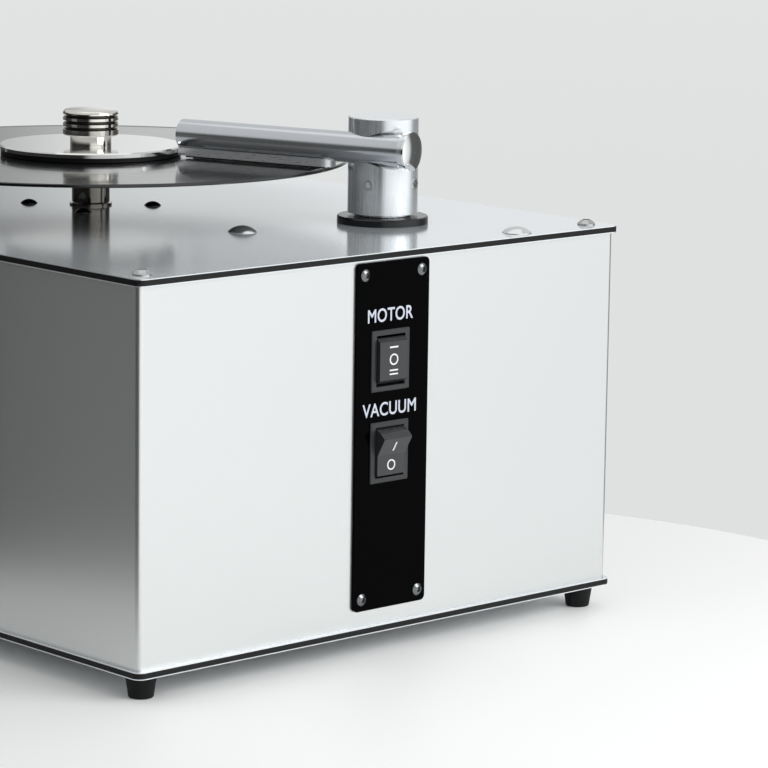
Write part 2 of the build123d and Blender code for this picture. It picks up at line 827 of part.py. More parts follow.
def arm_post():
    """Round post, cross-bored near one side for the tube and hollow for the air."""
    top = deck + arm_post_top
    shoulder = post_low + arm_post_foot_height
    bore = pivot_radius + running_fit
    bore_top = deck + pivot_above_deck + pivot_head_gap
    recess = pivot_shoulder_radius + pivot_recess_gap
    recess_top = (deck + pivot_bush_above_deck + arm_rest_gap + pivot_shoulder_height
                  + pivot_recess_gap)
    channel_top = tube_axis + arm_channel_radius
    post = turned([(recess, post_low), (arm_post_foot_radius, post_low),
                   (arm_post_foot_radius, shoulder), (arm_post_radius, shoulder),
                   (arm_post_radius, top - arm_post_edge), (arm_post_radius - arm_post_edge, top),
                   (0, top), (0, channel_top), (arm_channel_radius, channel_top),
                   (arm_channel_radius, bore_top), (bore, bore_top), (bore, recess_top),
                   (recess, recess_top)])
    post -= tube_rod(arm_tube_radius + thread_clearance, -2 * arm_post_radius,
                     2 * arm_post_radius)
    post -= Pos(-arm_tube_offset, -countersink_depth / 2, tube_axis) * Rot(90, 0, 0) * Cone(
        arm_tube_radius + thread_clearance, countersink_radius, countersink_depth)
    post -= cross_channel(arm_tube_offset)
    for bearing in arm_screw_bearings:
        post -= arm_grub(bearing, arm_screw_radius + thread_clearance, 1.0)
    return at_arm(post)


def cross_channel(reach):
    """Level bore that joins the tube to the hollow of the post, from the post's axis outwards."""
    return Pos(-reach / 2, 0, tube_axis) * Rot(0, 90, 0) * Cylinder(
        arm_channel_radius - arm_channel_wall, reach)


def arm_grub(bearing, radius, extra):
    """Radial grub screw in the side of the post; bearing is a compass angle in plan."""
    outer = arm_post_radius + arm_screw_proud + extra
    length = arm_screw_length + extra
    return Rot(0, 0, bearing - (arm_heading - 90)) * Pos(
        outer - length / 2, 0, deck + arm_screw_above_deck) * Rot(0, 90, 0) * Cylinder(
        radius, length)


def arm_screws():
    """Bright screws with a hexagon socket that clamp the pivot."""
    screws = []
    for bearing in arm_screw_bearings:
        socket = extrude(RegularPolygon(arm_screw_radius * 0.55, 6), 2 * hex_socket_depth, both=True)
        socket = Rot(0, 0, bearing - (arm_heading - 90)) * Pos(
            arm_post_radius + arm_screw_proud, 0,
            deck + arm_screw_above_deck) * Rot(0, 90, 0) * socket
        screws.append(at_arm(arm_grub(bearing, arm_screw_radius, 0.0) - socket))
    return screws


def arm_sleeve():
    """Bright collar on the near end of the tube, just behind the end plug."""
    near = -arm_plug_reach + arm_sleeve_gap
    sleeve = tube_rod(arm_sleeve_radius, near, near + arm_sleeve_length)
    return at_arm(sleeve - tube_rod(arm_tube_radius + thread_clearance, near - 1,
                                    near + arm_sleeve_length + 1))


def arm_tube():
    """Suction tube: slotted underneath, with a long flat on each side of the slot."""
    tube = (tube_rod(arm_tube_radius, -arm_plug_reach, tip_reach)
            - tube_rod(arm_tube_radius - arm_tube_wall, -arm_plug_reach - 1, tip_reach + 1))
    slot_length = nozzle_length - 2 * nozzle_slot_inset
    tube -= Pos(-arm_tube_offset, nozzle_middle, tube_axis - arm_tube_radius) * Box(
        nozzle_slot_width, slot_length, 2 * arm_tube_radius)
    flat_length = tip_reach - flat_tip_inset - record_edge_ahead
    flat_middle = (tip_reach - flat_tip_inset + record_edge_ahead) / 2
    for side in (-1, 1):
        cutter = Pos(0, 0, -1.5 * arm_tube_radius + flat_depth) * Box(
            2 * arm_tube_radius, flat_length, arm_tube_radius)
        tube -= Pos(-arm_tube_offset, flat_middle, tube_axis) * Rot(
            0, side * flat_angle, 0) * cutter
    return at_arm(tube - cross_channel(arm_tube_offset))


def end_plug():
    """Polished domed cap pressed into the near end of the tube."""
    spigot = arm_tube_radius - arm_tube_wall - thread_clearance
    cap = dome(arm_plug_radius, arm_plug_rim, arm_plug_height) + rod(spigot, -arm_plug_spigot, 0)
    return at_arm(Pos(-arm_tube_offset, -arm_plug_reach, tube_axis) * Rot(90, 0, 0) * cap)


def tip_plug():
    """Flat plug that closes the far end of the tube."""
    radius = arm_tube_radius - arm_tube_wall - thread_clearance
    far = tip_reach - tip_plug_sunk
    return at_arm(tube_rod(radius, far - tip_plug_length, far))


def nozzle_outline(inset):
    """Plan of the nozzle: square at the tip and round at the root."""
    half = nozzle_half_width - inset
    straight = nozzle_length - inset - nozzle_half_width
    outline = Pos(0, nozzle_half_width + straight / 2) * Rectangle(2 * half, straight)
    return outline + Pos(0, nozzle_half_width) * Circle(half)


def nozzle_bar():
    """Lipped bar under the tube that carries the velvet, slotted for the suction."""
    height = tube_axis - nozzle_below_axis - nozzle_bottom
    bar = Pos(-arm_tube_offset, nozzle_root, nozzle_bottom) * extrude(nozzle_outline(0), height)
    bar -= tube_rod(arm_tube_radius + thread_clearance, nozzle_root - 1, tip_reach + 1)
    bar -= Pos(-arm_tube_offset, nozzle_middle, nozzle_bottom) * Box(
        nozzle_slot_width, nozzle_length - 2 * nozzle_slot_inset, 4 * height)
    return at_arm(bar)


def velvet_strips():
    """Pair of velvet strips that lie over the record on each side of the slot."""
    length = nozzle_length - 2 * nozzle_slot_inset
    strips = []
    for side in (-1, 1):
        x = -arm_tube_offset + side * (nozzle_slot_width + velvet_width) / 2
        strips.append(at_arm(block(velvet_width, length, nozzle_bottom - velvet_thickness,
                                   nozzle_bottom, x, nozzle_middle)))
    return strips


# ---- arm pivot ------------------------------------------------------------------------
def arm_ring():
    """Black rubber ring that the post comes down on."""
    return Pos(arm_x, arm_y, deck) * turned([
        (arm_ring_bore, 0), (arm_ring_radius, 0), (arm_ring_radius, arm_ring_height - arm_ring_edge),
        (arm_ring_radius - arm_ring_edge, arm_ring_height), (arm_ring_bore, arm_ring_height)])


def pivot_bush():
    """Flanged bush in the lid and the plate that the pivot turns in."""
    low = tank_lid_bottom - pivot_bush_tail
    collar_low = tank_lid_bottom - pivot_bush_collar_height
    high = deck + pivot_bush_above_deck
    bore = pivot_radius + running_fit
    return Pos(arm_x, arm_y, 0) * turned([
        (bore, low), (pivot_bush_radius, low), (pivot_bush_radius, collar_low),
        (pivot_bush_collar_radius, collar_low), (pivot_bush_collar_radius, tank_lid_bottom),
        (pivot_bush_radius, tank_lid_bottom), (pivot_bush_radius, high), (bore, high)])


def pivot_shaft():
    """Hollow shaft with a shoulder over the bush; the post slides up and down on it."""
    low = tank_lid_bottom - pivot_bush_tail - arm_rest_gap - pivot_collar_height - pivot_tail
    shoulder = deck + pivot_bush_above_deck + arm_rest_gap
    return Pos(arm_x, arm_y, 0) * turned([
        (pivot_bore, low), (pivot_radius, low), (pivot_radius, shoulder),
        (pivot_shoulder_radius, shoulder),
        (pivot_shoulder_radius, shoulder + pivot_shoulder_height),
        (pivot_radius, shoulder + pivot_shoulder_height),
        (pivot_radius, deck + pivot_above_deck), (pivot_bore, deck + pivot_above_deck)])


def pivot_collar():
    """Collar that keeps the shaft in its bush."""
    high = tank_lid_bottom - pivot_bush_tail - arm_rest_gap
    return Pos(arm_x, arm_y, 0) * (
        rod(pivot_collar_radius, high - pivot_collar_height, high)
        - rod(pivot_radius + thread_clearance, high - pivot_collar_height - 1, high + 1))


# ---- waste tank and suction -----------------------------------------------------------
def tank_lid():
    """Round lid with three lugs for the domed bolts."""
    low = tank_lid_bottom
    lid = rod(tank_radius, low, casing_top, tank_x, tank_y)
    for i in range(dome_bolt_count):
        bearing = dome_bolt_bearing + i * 360 / dome_bolt_count
        x, y = dome_bolt_places[i]
        lug = rod(lug_radius, low, casing_top, x, y)
        arm = Pos(tank_x, tank_y, (low + casing_top) / 2) * Rot(0, 0, bearing) * Pos(
            dome_bolt_circle / 2, 0, 0) * Box(dome_bolt_circle, 2 * lug_radius,
                                              tank_lid_thickness)
        lid += lug + arm
    for x, y in dome_bolt_places:
        lid -= rod(dome_shank_radius + thread_clearance, low - 1, casing_top + 1, x, y)
    lid -= rod(pivot_bush_radius + thread_clearance, low - 1, casing_top + 1, arm_x, arm_y)
    return lid


def waste_tank():
    """Round pot that catches the fluid, with an air port at the back and a drain below."""
    pot = rod(tank_radius, tank_foot, tank_lid_bottom, tank_x, tank_y)
    pot = chamfer(pot.edges().sort_by(Axis.Z)[0], tank_foot_chamfer)
    pot -= rod(tank_radius - tank_wall, tank_foot + tank_foot_chamfer, tank_lid_bottom + 1,
               tank_x, tank_y)
    pot -= rod_along_y(duct_radius - duct_wall, tank_y, tank_y + 2 * tank_radius,
                       duct_x, turbine_height)
    return pot - rod_along_y(drain_pipe_bore, tank_y, tank_y + 2 * tank_radius,
                             drain_x, drain_height)


def dome_bolt(x, y):
    """Polished domed bolt through the top plate and a lug of the lid."""
    head = Pos(0, 0, deck) * dome(dome_head_radius, dome_head_rim, dome_head_height)
    return Pos(x, y, 0) * (head + rod(dome_shank_radius, deck - dome_shank_length, deck))


def dome_nut(x, y):
    """Hexagon nut under the lug."""
    nut = extrude(RegularPolygon(dome_nut_flats / 2, 6, major_radius=False), dome_nut_height)
    nut -= rod(dome_shank_radius + thread_clearance, -1, dome_nut_height + 1)
    return Pos(x, y, tank_lid_bottom - dome_nut_height) * nut


def air_duct():
    """Short pipe from the tank's air port to the eye of the turbine."""
    duct = (rod_along_y(duct_radius, tank_y, turbine_y, duct_x, turbine_height)
            - rod_along_y(duct_radius - duct_wall, tank_y - 1, turbine_y + 1, duct_x,
                          turbine_height))
    return duct - rod(tank_radius + thread_clearance, base_top, casing_top, tank_x, tank_y)


def vacuum_turbine():
    """Fan housing of the turbine: two pressed shells with a rolled seam, and its eye."""
    middle = turbine_y + turbine_length / 2
    fan = rod_along_y(turbine_radius, turbine_y, turbine_y + turbine_length, turbine_x,
                      turbine_height)
    fan = chamfer(fan.edges().filter_by(GeomType.CIRCLE), turbine_edge)
    seam = rod_along_y(turbine_radius + turbine_flange_proud,
                       middle - turbine_flange_thickness / 2,
                       middle + turbine_flange_thickness / 2, turbine_x, turbine_height)
    fan += seam
    return fan - rod_along_y(duct_radius - duct_wall, turbine_y - 1,
                             turbine_y + turbine_eye_depth, duct_x, turbine_height)


def turbine_motor():
    """Motor of the turbine, with a bearing boss at the back."""
    front = turbine_y + turbine_length
    back = front + turbine_motor_length
    motor = rod_along_y(turbine_motor_radius, front, back, turbine_x, turbine_height)
    motor = chamfer(motor.edges().filter_by(GeomType.CIRCLE).sort_by(Axis.Y)[-1],
                    turbine_motor_edge)
    return motor + rod_along_y(turbine_boss_radius, back - 1, back + turbine_boss_length,
                               turbine_x, turbine_height)


def turbine_cradle():
    """Bent bracket on the base plate with a round saddle on each side of the seam."""
    middle = turbine_y + turbine_length / 2
    spread = turbine_flange_thickness / 2 + cradle_thickness / 2 + cradle_seam_gap
    cradle = block(cradle_width, 2 * cradle_foot, base_top, base_top + cradle_thickness,
                   turbine_x, middle)
    for side in (-1, 1):
        cradle += block(cradle_width, cradle_thickness, base_top, turbine_height,
                        turbine_x, middle + side * spread)
    return cradle - rod_along_y(turbine_radius + cradle_seat, turbine_y - 1,
                                turbine_y + turbine_length + 1, turbine_x, turbine_height)


def drain_pipe():
    """Pipe from the bottom of the tank to the spout in the rear panel."""
    back = casing_back - wall - spout_flange_thickness
    pipe = (rod_along_y(drain_pipe_radius, tank_y, back, drain_x, drain_height)
            - rod_along_y(drain_pipe_bore, tank_y - 1, back + 1, drain_x, drain_height))
    return pipe - rod(tank_radius + thread_clearance, 0, deck, tank_x, tank_y)


def drain_spout():
    """Flanged spout through the rear panel."""
    inner = casing_back - wall
    outer = casing_back + spout_length
    spout = rod_along_y(spout_radius, inner, outer, drain_x, drain_height)
    spout += rod_along_y(spout_shank_radius, inner, casing_back, drain_x, drain_height)
    spout += rod_along_y(spout_flange_radius, inner - spout_flange_thickness, inner, drain_x,
                         drain_height)
    return spout - rod_along_y(drain_pipe_bore, inner - 2 * spout_flange_thickness, outer + 1,
                               drain_x, drain_height)


# ---- rear inlet and electrics ---------------------------------------------------------
def power_inlet():
    """Three-pin mains inlet: flange, box, shaped mouth and flat pins."""
    flange = extrude(RectangleRounded(inlet_width, inlet_height, inlet_corner),
                     inlet_flange_thickness)
    body = Pos(0, 0, -inlet_body_depth / 2) * Box(inlet_body_width, inlet_body_height,
                                                  inlet_body_depth)
    mouth_outline = chamfer(Rectangle(inlet_mouth_width, inlet_mouth_height).vertices()
                            .sort_by(Axis.Y)[-2:], inlet_corner)
    mouth = Pos(0, 0, inlet_flange_thickness - inlet_mouth_depth) * extrude(
        mouth_outline, inlet_mouth_depth + 1)
    inlet = flange + body - mouth
    floor = inlet_flange_thickness - inlet_mouth_depth
    for i, side in ((-1, -1), (0, 1), (1, -1)):
        inlet += Pos(i * inlet_pin_pitch, side * inlet_pin_offset,
                     floor + inlet_pin_length / 2) * Box(
            inlet_pin_width, inlet_pin_height, inlet_pin_length)
    return Pos(inlet_x, casing_back, inlet_z) * Rot(-90, 0, 0) * inlet


def run_capacitor():
    """Motor run capacitor, standing on the base plate."""
    y = from_front(capacitor_from_front)
    top = base_top + capacitor_length
    can = rod(capacitor_radius, base_top, top, capacitor_x, y)
    can = chamfer(can.edges().sort_by(Axis.Z)[-1], capacitor_edge)
    return can + rod(capacitor_stud_radius, top - 1, top + capacitor_stud_height, capacitor_x, y)


def terminal_block():
    """Row of screw terminals on the base plate."""
    y = from_front(terminal_from_front)
    top = base_top + terminal_height
    strip = block(terminal_length, terminal_width, base_top, top, terminal_x, y)
    pitch = terminal_length / terminal_count
    for i in range(terminal_count):
        x = terminal_x + (i - (terminal_count - 1) / 2) * pitch
        strip -= rod(terminal_screw_radius, top - terminal_screw_depth, top + 1, x, y)
    return strip


# ---- the nodes ------------------------------------------------------------------------
corner_hole = m4_radius + thread_clearance
base_holes = [(corner_hole, x, y) for x, y in corners]
top_holes = (base_holes
             + [(corner_hole, x, y) for x, y in motor_screw_places]
             + [(dome_shank_radius + thread_clearance, x, y) for x, y in dome_bolt_places]
             + [(spindle_post_radius - spindle_tail_wall + thread_clearance,
                 spindle_x, spindle_y),
                (pivot_bush_radius + thread_clearance, arm_x, arm_y)])
base_core, base_skins = composite_plate(foot_height, base_holes)
top_core, top_skins = composite_plate(casing_top, top_holes)

nodes = {
    "base_plate_core": [base_core],
    "base_plate_skins": base_skins,
    "top_plate_core": [top_core],
    "top_plate_skins": top_skins,
    "casing_wrap": [casing_wrap()],
    "rear_panel": [rear_panel()],
    "vent_grille": [vent_grille()],
    "corner_bars": [corner_bar(x, y) for x, y in corners],
    "feet": [foot(x, y) for x, y in corners],
    "foot_screws": [foot_screw(x, y) for x, y in corners],
    "corner_screws": [corner_screw(x, y) for x, y in corners],
    "rear_screws": [screw_facing(1, rear_head_radius, rear_head_height, m4_radius,
                                 rear_screw_depth, x, casing_back, base_top + height)
                    for x, y in rear_corners for height in rear_screw_heights],
    "control_strip": [control_strip()],
    "strip_screws": [screw_facing(-1, strip_head_radius, strip_head_height,
                                  strip_screw_shank_radius, strip_screw_length,
                                  x, strip_face, z) for x, z in strip_screw_places],
    "motor_switch_body": [switch_body(switch_heights[0])],
    "vacuum_switch_body": [switch_body(switch_heights[1])],
    "motor_rocker": [rocker(motor_rocker_outline(), 0.0, switch_heights[0])],
    "vacuum_rocker": [rocker(vacuum_rocker_outline(), rocker_lean, switch_heights[1])],
    "spindle_bush": [spindle_bush()],
    "spindle_post": [spindle_post()],
    "post_screws": post_screws(),
    "drive_shaft": [drive_shaft()],
    "support_disc": [support_disc()],
    "support_pad": [support_pad()],
    "record": [record()],
    "cover_seal": [cover_seal()],
    "label_cover": [label_cover()],
    "clamp_knob": [clamp_knob()],
    "knob_screw": [knob_screw()],
    "gear_head": [gear_head()],
    "drive_motor": [drive_motor()],
    "motor_screws": [motor_screw(x, y) for x, y in motor_screw_places],
    "arm_post": [arm_post()],
    "arm_sleeve": [arm_sleeve()],
    "arm_tube": [arm_tube()],
    "arm_screws": arm_screws(),
    "end_plug": [end_plug()],
    "tip_plug": [tip_plug()],
    "nozzle_bar": [nozzle_bar()],
    "velvet_strips": velvet_strips(),
    "arm_ring": [arm_ring()],
    "pivot_bush": [pivot_bush()],
    "pivot_shaft": [pivot_shaft()],
    "pivot_collar": [pivot_collar()],
    "tank_lid": [tank_lid()],
    "waste_tank": [waste_tank()],
    "dome_bolts": [dome_bolt(x, y) for x, y in dome_bolt_places],
    "dome_nuts": [dome_nut(x, y) for x, y in dome_bolt_places],
    "air_duct": [air_duct()],
    "vacuum_turbine": [vacuum_turbine()],
    "turbine_motor": [turbine_motor()],
    "turbine_cradle": [turbine_cradle()],
    "drain_pipe": [drain_pipe()],
    "drain_spout": [drain_spout()],
    "power_inlet": [power_inlet()],
    "run_capacitor": [run_capacitor()],
    "terminal_block": [terminal_block()],
}

os.makedirs("parts", exist_ok=True)
for name, pieces in nodes.items():
    solids = [solid for piece in pieces for solid in piece.solids()]
    export_step(Compound(solids), f"parts/{name}.step")
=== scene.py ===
"""Finishes, lettering, small detail, studio and camera for the record cleaning machine."""

import json
import math

import bmesh
import bpy
import numpy as np
from bpy.props import FloatProperty, FloatVectorProperty, PointerProperty
from mathutils import Matrix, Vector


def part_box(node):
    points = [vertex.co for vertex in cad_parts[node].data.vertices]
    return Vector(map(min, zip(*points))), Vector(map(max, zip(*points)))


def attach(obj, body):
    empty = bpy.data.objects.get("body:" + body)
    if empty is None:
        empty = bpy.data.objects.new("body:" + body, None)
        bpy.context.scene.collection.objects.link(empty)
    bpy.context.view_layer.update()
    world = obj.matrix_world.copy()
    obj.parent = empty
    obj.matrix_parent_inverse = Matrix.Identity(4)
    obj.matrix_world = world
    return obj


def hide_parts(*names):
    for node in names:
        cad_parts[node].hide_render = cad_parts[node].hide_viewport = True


bl_info = {
    "name": "Record cleaning machine",
    "version": (1, 0, 0),
    "blender": (4, 5, 0),
    "location": "View3D > Sidebar > Record cleaner",
    "description": "Dresses the packed record cleaning machine and lights it",
    "category": "Object",
}

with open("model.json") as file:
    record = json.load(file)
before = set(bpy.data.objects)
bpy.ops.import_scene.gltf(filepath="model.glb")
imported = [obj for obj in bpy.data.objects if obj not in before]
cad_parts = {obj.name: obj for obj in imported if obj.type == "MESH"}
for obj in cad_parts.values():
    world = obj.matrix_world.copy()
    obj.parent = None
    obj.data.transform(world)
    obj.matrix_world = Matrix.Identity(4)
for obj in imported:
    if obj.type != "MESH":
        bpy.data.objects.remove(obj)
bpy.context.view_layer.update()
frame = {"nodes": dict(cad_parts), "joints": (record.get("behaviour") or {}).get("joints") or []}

# ---- places: shapes are worked out in millimetres and stored in metres -----------------
MM = 0.001
MERGE_REACH_M = 1e-7
joints = {joint["name"]: joint for joint in frame["joints"]}


def place(name):
    """Point on a joint's axis, in millimetres."""
    return np.array(joints[name]["pos_m"]) / MM


def low(node):
    """Lowest corner of a node, in millimetres."""
    return np.array(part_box(node)[0]) / MM


def high(node):
    """Highest corner of a node, in millimetres."""
    return np.array(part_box(node)[1]) / MM


spindle = place("spindle_turn")
arm_axis = place("arm_swing")
deck = high("top_plate_skins")[2]
front_left = low("top_plate_skins")
strip_low, strip_high = low("control_strip"), high("control_strip")
strip_face = strip_low[1]
strip_middle = (strip_low[0] + strip_high[0]) / 2

# ---- sizes of the pieces, in millimetres and degrees -----------------------------------
# Record: radii of the smooth bands at the lead-in, between the tracks and at the run-out.
TRACK_GAPS = (147.6, 126.0, 108.5, 91.0, 76.5, 62.5)
TRACK_GAP_WIDTH = 1.1

# Clamp knob: the neck's outline as (radius, height), the heights of the grooves' middles, the
# shoulder's foot and size, and the top. Heights are over the label cover.
KNOB_NECK = ((0.0, 0.05), (12.0, 0.05), (12.0, 4.3), (12.4, 5.0), (15.6, 5.1), (16.2, 5.8))
KNOB_RADIUS = 16.2
KNOB_GROOVES = (9.6, 13.1, 16.5)
KNOB_GROOVE_DEPTH = 2.3
KNOB_GROOVE_WIDTH = 1.9
KNOB_SHOULDER = (17.7, 2.3)
KNOB_TOP = 21.0
# One groove's outline, as shares of its depth and of half its width.
GROOVE_DIP = (0.0, 0.2, 1.0, 1.0, 0.2, 0.0)
GROOVE_STEP = (-1.0, -0.75, -0.7, 0.7, 0.75, 1.0)
# Past this share of a groove's depth its wall takes the darker groove finish, painted shade deep in
# the groove.
GROOVE_SHADE_SHARE = 0.4
# The shoulder stops short of a quarter turn, so that it runs into the crown.
SHOULDER_TURN = 0.42 * np.pi
SHOULDER_POINTS, CROWN_POINTS, KNOB_SEGMENTS = 12, 16, 192

# Arm: the tube's heading round from +X and how far its axis passes from the post's.
ARM_HEADING = 107.2
ARM_OFFSET = 14.7
POST_RADIUS = 19.9

# Flared mouth: the tube's radius, how far round the tube it goes to each side, how deep it sinks
# and how thick it is. The countersink widens from CONE_NARROW at the post's middle to CONE_WIDE
# at CONE_LENGTH from it.
FLARE_INNER = 9.0
FLARE_SWEEP = 104.0
FLARE_DEPTH = 3.2
FLARE_THICKNESS = 0.5
CONE_WIDE, CONE_NARROW, CONE_LENGTH = 12.0, 8.95, 20.0
# Where countersink and post meet is found in rounds, and stays this far from the post's middle.
FLARE_ROUNDS = 6
FLARE_LEAST_REACH = 1.0
FLARE_POINTS_ROUND, FLARE_POINTS_ACROSS = 121, 13

# Print: thickness, growth of the words' outline as a share of the type, and letter spacing.
INK_THICKNESS = 0.08
LETTER_BOLD = 0.012
LETTER_SPACING = 1.04
# Marks on the flat rocker: name, glyph, width, height and rise over the pivot.
MOTOR_MARKS = (
    ("up", "-", 6.0, 0.9, 7.4),
    ("off", "O", 6.2, 6.2, 0.7),
    ("down", "=", 6.0, 2.9, -6.2),
)
# The V-shaped rocker: lean of its upper face, rise of the tip over the pivot, and how far the
# fold lies below the tip along that face.
VACUUM_LEAN = 30.0
VACUUM_TIP_RISE = 8.18
VACUUM_UPPER_FACE = 11.06
# Its marks: name, glyph, width, height, distance down their face and that face's lean.
VACUUM_MARKS = (
    ("on", "I", 1.0, 6.0, 5.5, VACUUM_LEAN),
    ("off", "O", 5.8, 5.8, 5.6, 0.0),
)

# Table, from the top plate's front left corner.
TABLE_CENTRE = (front_left[0] + 174.0, front_left[1] + 51.0)
TABLE_THICKNESS = 24.0
TABLE_EDGE = 3.0
# Where the softened edge's middle point lies, as a share of the edge.
TABLE_EDGE_MIDDLE = 0.3
TABLE_SEGMENTS = 256

# Camera, from the same corner: fitted to the casing's edges and the record's rim.
CAMERA_PLACE = (front_left[0] - 1158.38, front_left[1] - 1438.65, deck + 276.39)
CAMERA_YAW = 42.68
CAMERA_PITCH = 10.08
CAMERA_ROLL = 0.82
CAMERA_SENSOR = 36.0
CAMERA_REACH_M = 20.0

# ---- light -----------------------------------------------------------------------------
# Softboxes: name, place and the point each faces, width and height in metres, and the setting
# with its power.
SOFTBOXES = (
    ("front softbox", (700.0, -1700.0, 1150.0), (0.0, 0.0, 150.0), (1.4, 1.0),
     "softbox_power"),
    ("side softbox", (-560.0, 235.0, 90.0), (-174.0, -60.0, 110.0), (0.28, 0.3),
     "side_power"),
    ("overhead softbox", (100.0, 100.0, 1900.0), (0.0, -50.0, 100.0), (1.6, 1.6),
     "overhead_power"),
)

# How bright the room is by heading, in degrees round from +X: dim straight to the right, a bright
# wall behind on the right, a narrow strip straight behind, a dim left side, and a wide bright
# side in front.
ROOM = ((0.0, 0.08), (14.0, 0.10), (28.0, 0.58), (42.0, 0.72), (47.5, 0.72), (51.5, 0.74),
        (54.0, 0.34), (70.0, 0.32), (82.0, 0.05), (94.0, 0.03), (98.0, 0.40), (102.0, 0.03),
        (150.0, 0.03), (222.0, 0.02), (234.0, 0.74), (246.0, 0.88), (266.0, 1.0),
        (316.0, 1.0), (330.0, 0.62), (338.0, 0.10), (360.0, 0.08))
ROOM_POWER = 1.24
ROOM_TINT = "#FAFCFC"
# The walls pass into an even ceiling between these heights of a ray that has length 1.
CEILING = 0.71
CEILING_START, CEILING_FULL = 0.15, 0.4
# What the camera sees behind the table: the level at two heights of its rays.
BACKDROP_LOW, BACKDROP_HIGH = -0.12, 0.10
BACKDROP_LOW_LEVEL, BACKDROP_HIGH_LEVEL = 0.775, 0.86

# ---- patterns --------------------------------------------------------------------------
# Nearly all of a noise texture lies between these values.
NOISE_LOW, NOISE_HIGH = 0.25, 0.75
LEAST_ROUGHNESS = 0.02
GROOVE_ROUGHNESS, TRACK_GAP_ROUGHNESS = 0.15, 0.05


# ---- colour and shader helpers ---------------------------------------------------------
def linear(code):
    """Linear RGBA of an sRGB hex colour: c/12.92 below 0.04045, else ((c + 0.055)/1.055)^2.4."""
    parts = np.array([int(code[i:i + 2], 16) for i in (1, 3, 5)]) / 255.0
    parts = np.where(parts <= 0.04045, parts / 12.92, ((parts + 0.055) / 1.055) ** 2.4)
    return (*parts.tolist(), 1.0)


def add(tree, kind, settings=None, links=None):
    """Adds one node, with its properties and socket values, and the outputs it is fed from."""
    node = tree.nodes.new(kind)
    for key, value in (settings or {}).items():
        if isinstance(key, int) or key in node.inputs:
            node.inputs[key].default_value = value
        else:
            setattr(node, key, value)
    for key, output in (links or {}).items():
        tree.links.new(output, node.inputs[key])
    return node


def new_tree(name):
    """Empty material with its object coordinates."""
    material = bpy.data.materials.new(name)
    material.use_nodes = True
    tree = material.node_tree
    tree.nodes.clear()
    coords = add(tree, "ShaderNodeTexCoord").outputs["Object"]
    return material, tree, coords


def finish_tree(material, tree, noise, colour, roughness, metallic, relief, swing, tone=0.0,
                settings=None):
    """Joins a pattern to the shader: colour, roughness and bump each take their share of it."""
    base = linear(colour)
    shader = add(tree, "ShaderNodeBsdfPrincipled", {
        "Base Color": base, "Roughness": roughness, "Metallic": metallic, **(settings or {})})
    if tone:
        dark = tuple(c * (1.0 - tone) for c in base[:3]) + (1.0,)
        light = tuple(min(c * (1.0 + tone), 1.0) for c in base[:3]) + (1.0,)
        mix = add(tree, "ShaderNodeMix", {"data_type": "RGBA", 6: dark, 7: light}, {0: noise})
        tree.links.new(mix.outputs[2], shader.inputs["Base Color"])
    if swing:
        ramp = add(tree, "ShaderNodeMapRange", {
            "From Min": NOISE_LOW, "From Max": NOISE_HIGH,
            "To Min": max(roughness - swing, LEAST_ROUGHNESS), "To Max": roughness + swing},
            {"Value": noise})
        tree.links.new(ramp.outputs[0], shader.inputs["Roughness"])
    if relief:
        bump = add(tree, "ShaderNodeBump", {"Strength": 1.0, "Distance": relief * MM},
                   {"Height": noise})
        tree.links.new(bump.outputs[0], shader.inputs["Normal"])
    add(tree, "ShaderNodeOutputMaterial", {}, {"Surface": shader.outputs[0]})
    return material


def grained(name, colour, roughness, metallic=0.0, size=(1.0, 1.0, 1.0), turn=0.0, relief=0.0,
            swing=0.0, tone=0.0, detail=2.0, settings=None):
    """Surface with one grain. size is the grain in millimetres along X, Y and Z, turn its heading
    in degrees about Z, relief its depth in millimetres, swing and tone what it does to the
    roughness and to the colour."""
    material, tree, coords = new_tree(name)
    turned_back = add(tree, "ShaderNodeMapping", {"Rotation": (0.0, 0.0, -math.radians(turn))},
                      {"Vector": coords}).outputs[0]
    mapped = add(tree, "ShaderNodeMapping", {"Scale": tuple(1.0 / (MM * s) for s in size)},
                 {"Vector": turned_back}).outputs[0]
    noise = add(tree, "ShaderNodeTexNoise", {"Scale": 1.0, "Detail": detail},
                {"Vector": mapped}).outputs["Fac"]
    return finish_tree(material, tree, noise, colour, roughness, metallic, relief, swing, tone,
                       settings)


def turned(name, colour, roughness, centre, metallic=1.0, pitch=0.3, relief=0.0, swing=0.0,
           settings=None):
    """Surface cut on a lathe about an upright axis: the marks are noise read along
    (distance from the axis, height), so they run round as fine rings pitch millimetres apart."""
    material, tree, coords = new_tree(name)
    moved = add(tree, "ShaderNodeMapping",
                {"Location": (-centre[0] * MM, -centre[1] * MM, 0.0)},
                {"Vector": coords}).outputs[0]
    flat = add(tree, "ShaderNodeVectorMath", {"operation": "MULTIPLY", 1: (1.0, 1.0, 0.0)},
               {0: moved}).outputs[0]
    radius = add(tree, "ShaderNodeVectorMath", {"operation": "LENGTH"}, {0: flat}).outputs[1]
    split = add(tree, "ShaderNodeSeparateXYZ", {}, {0: moved})
    along = add(tree, "ShaderNodeCombineXYZ", {}, {0: radius, 1: split.outputs[2]}).outputs[0]
    noise = add(tree, "ShaderNodeTexNoise", {"Scale": 1.0 / (MM * pitch), "Detail": 2.0},
                {"Vector": along}).outputs["Fac"]
    return finish_tree(material, tree, noise, colour, roughness, metallic, relief, swing,
                       settings=settings)


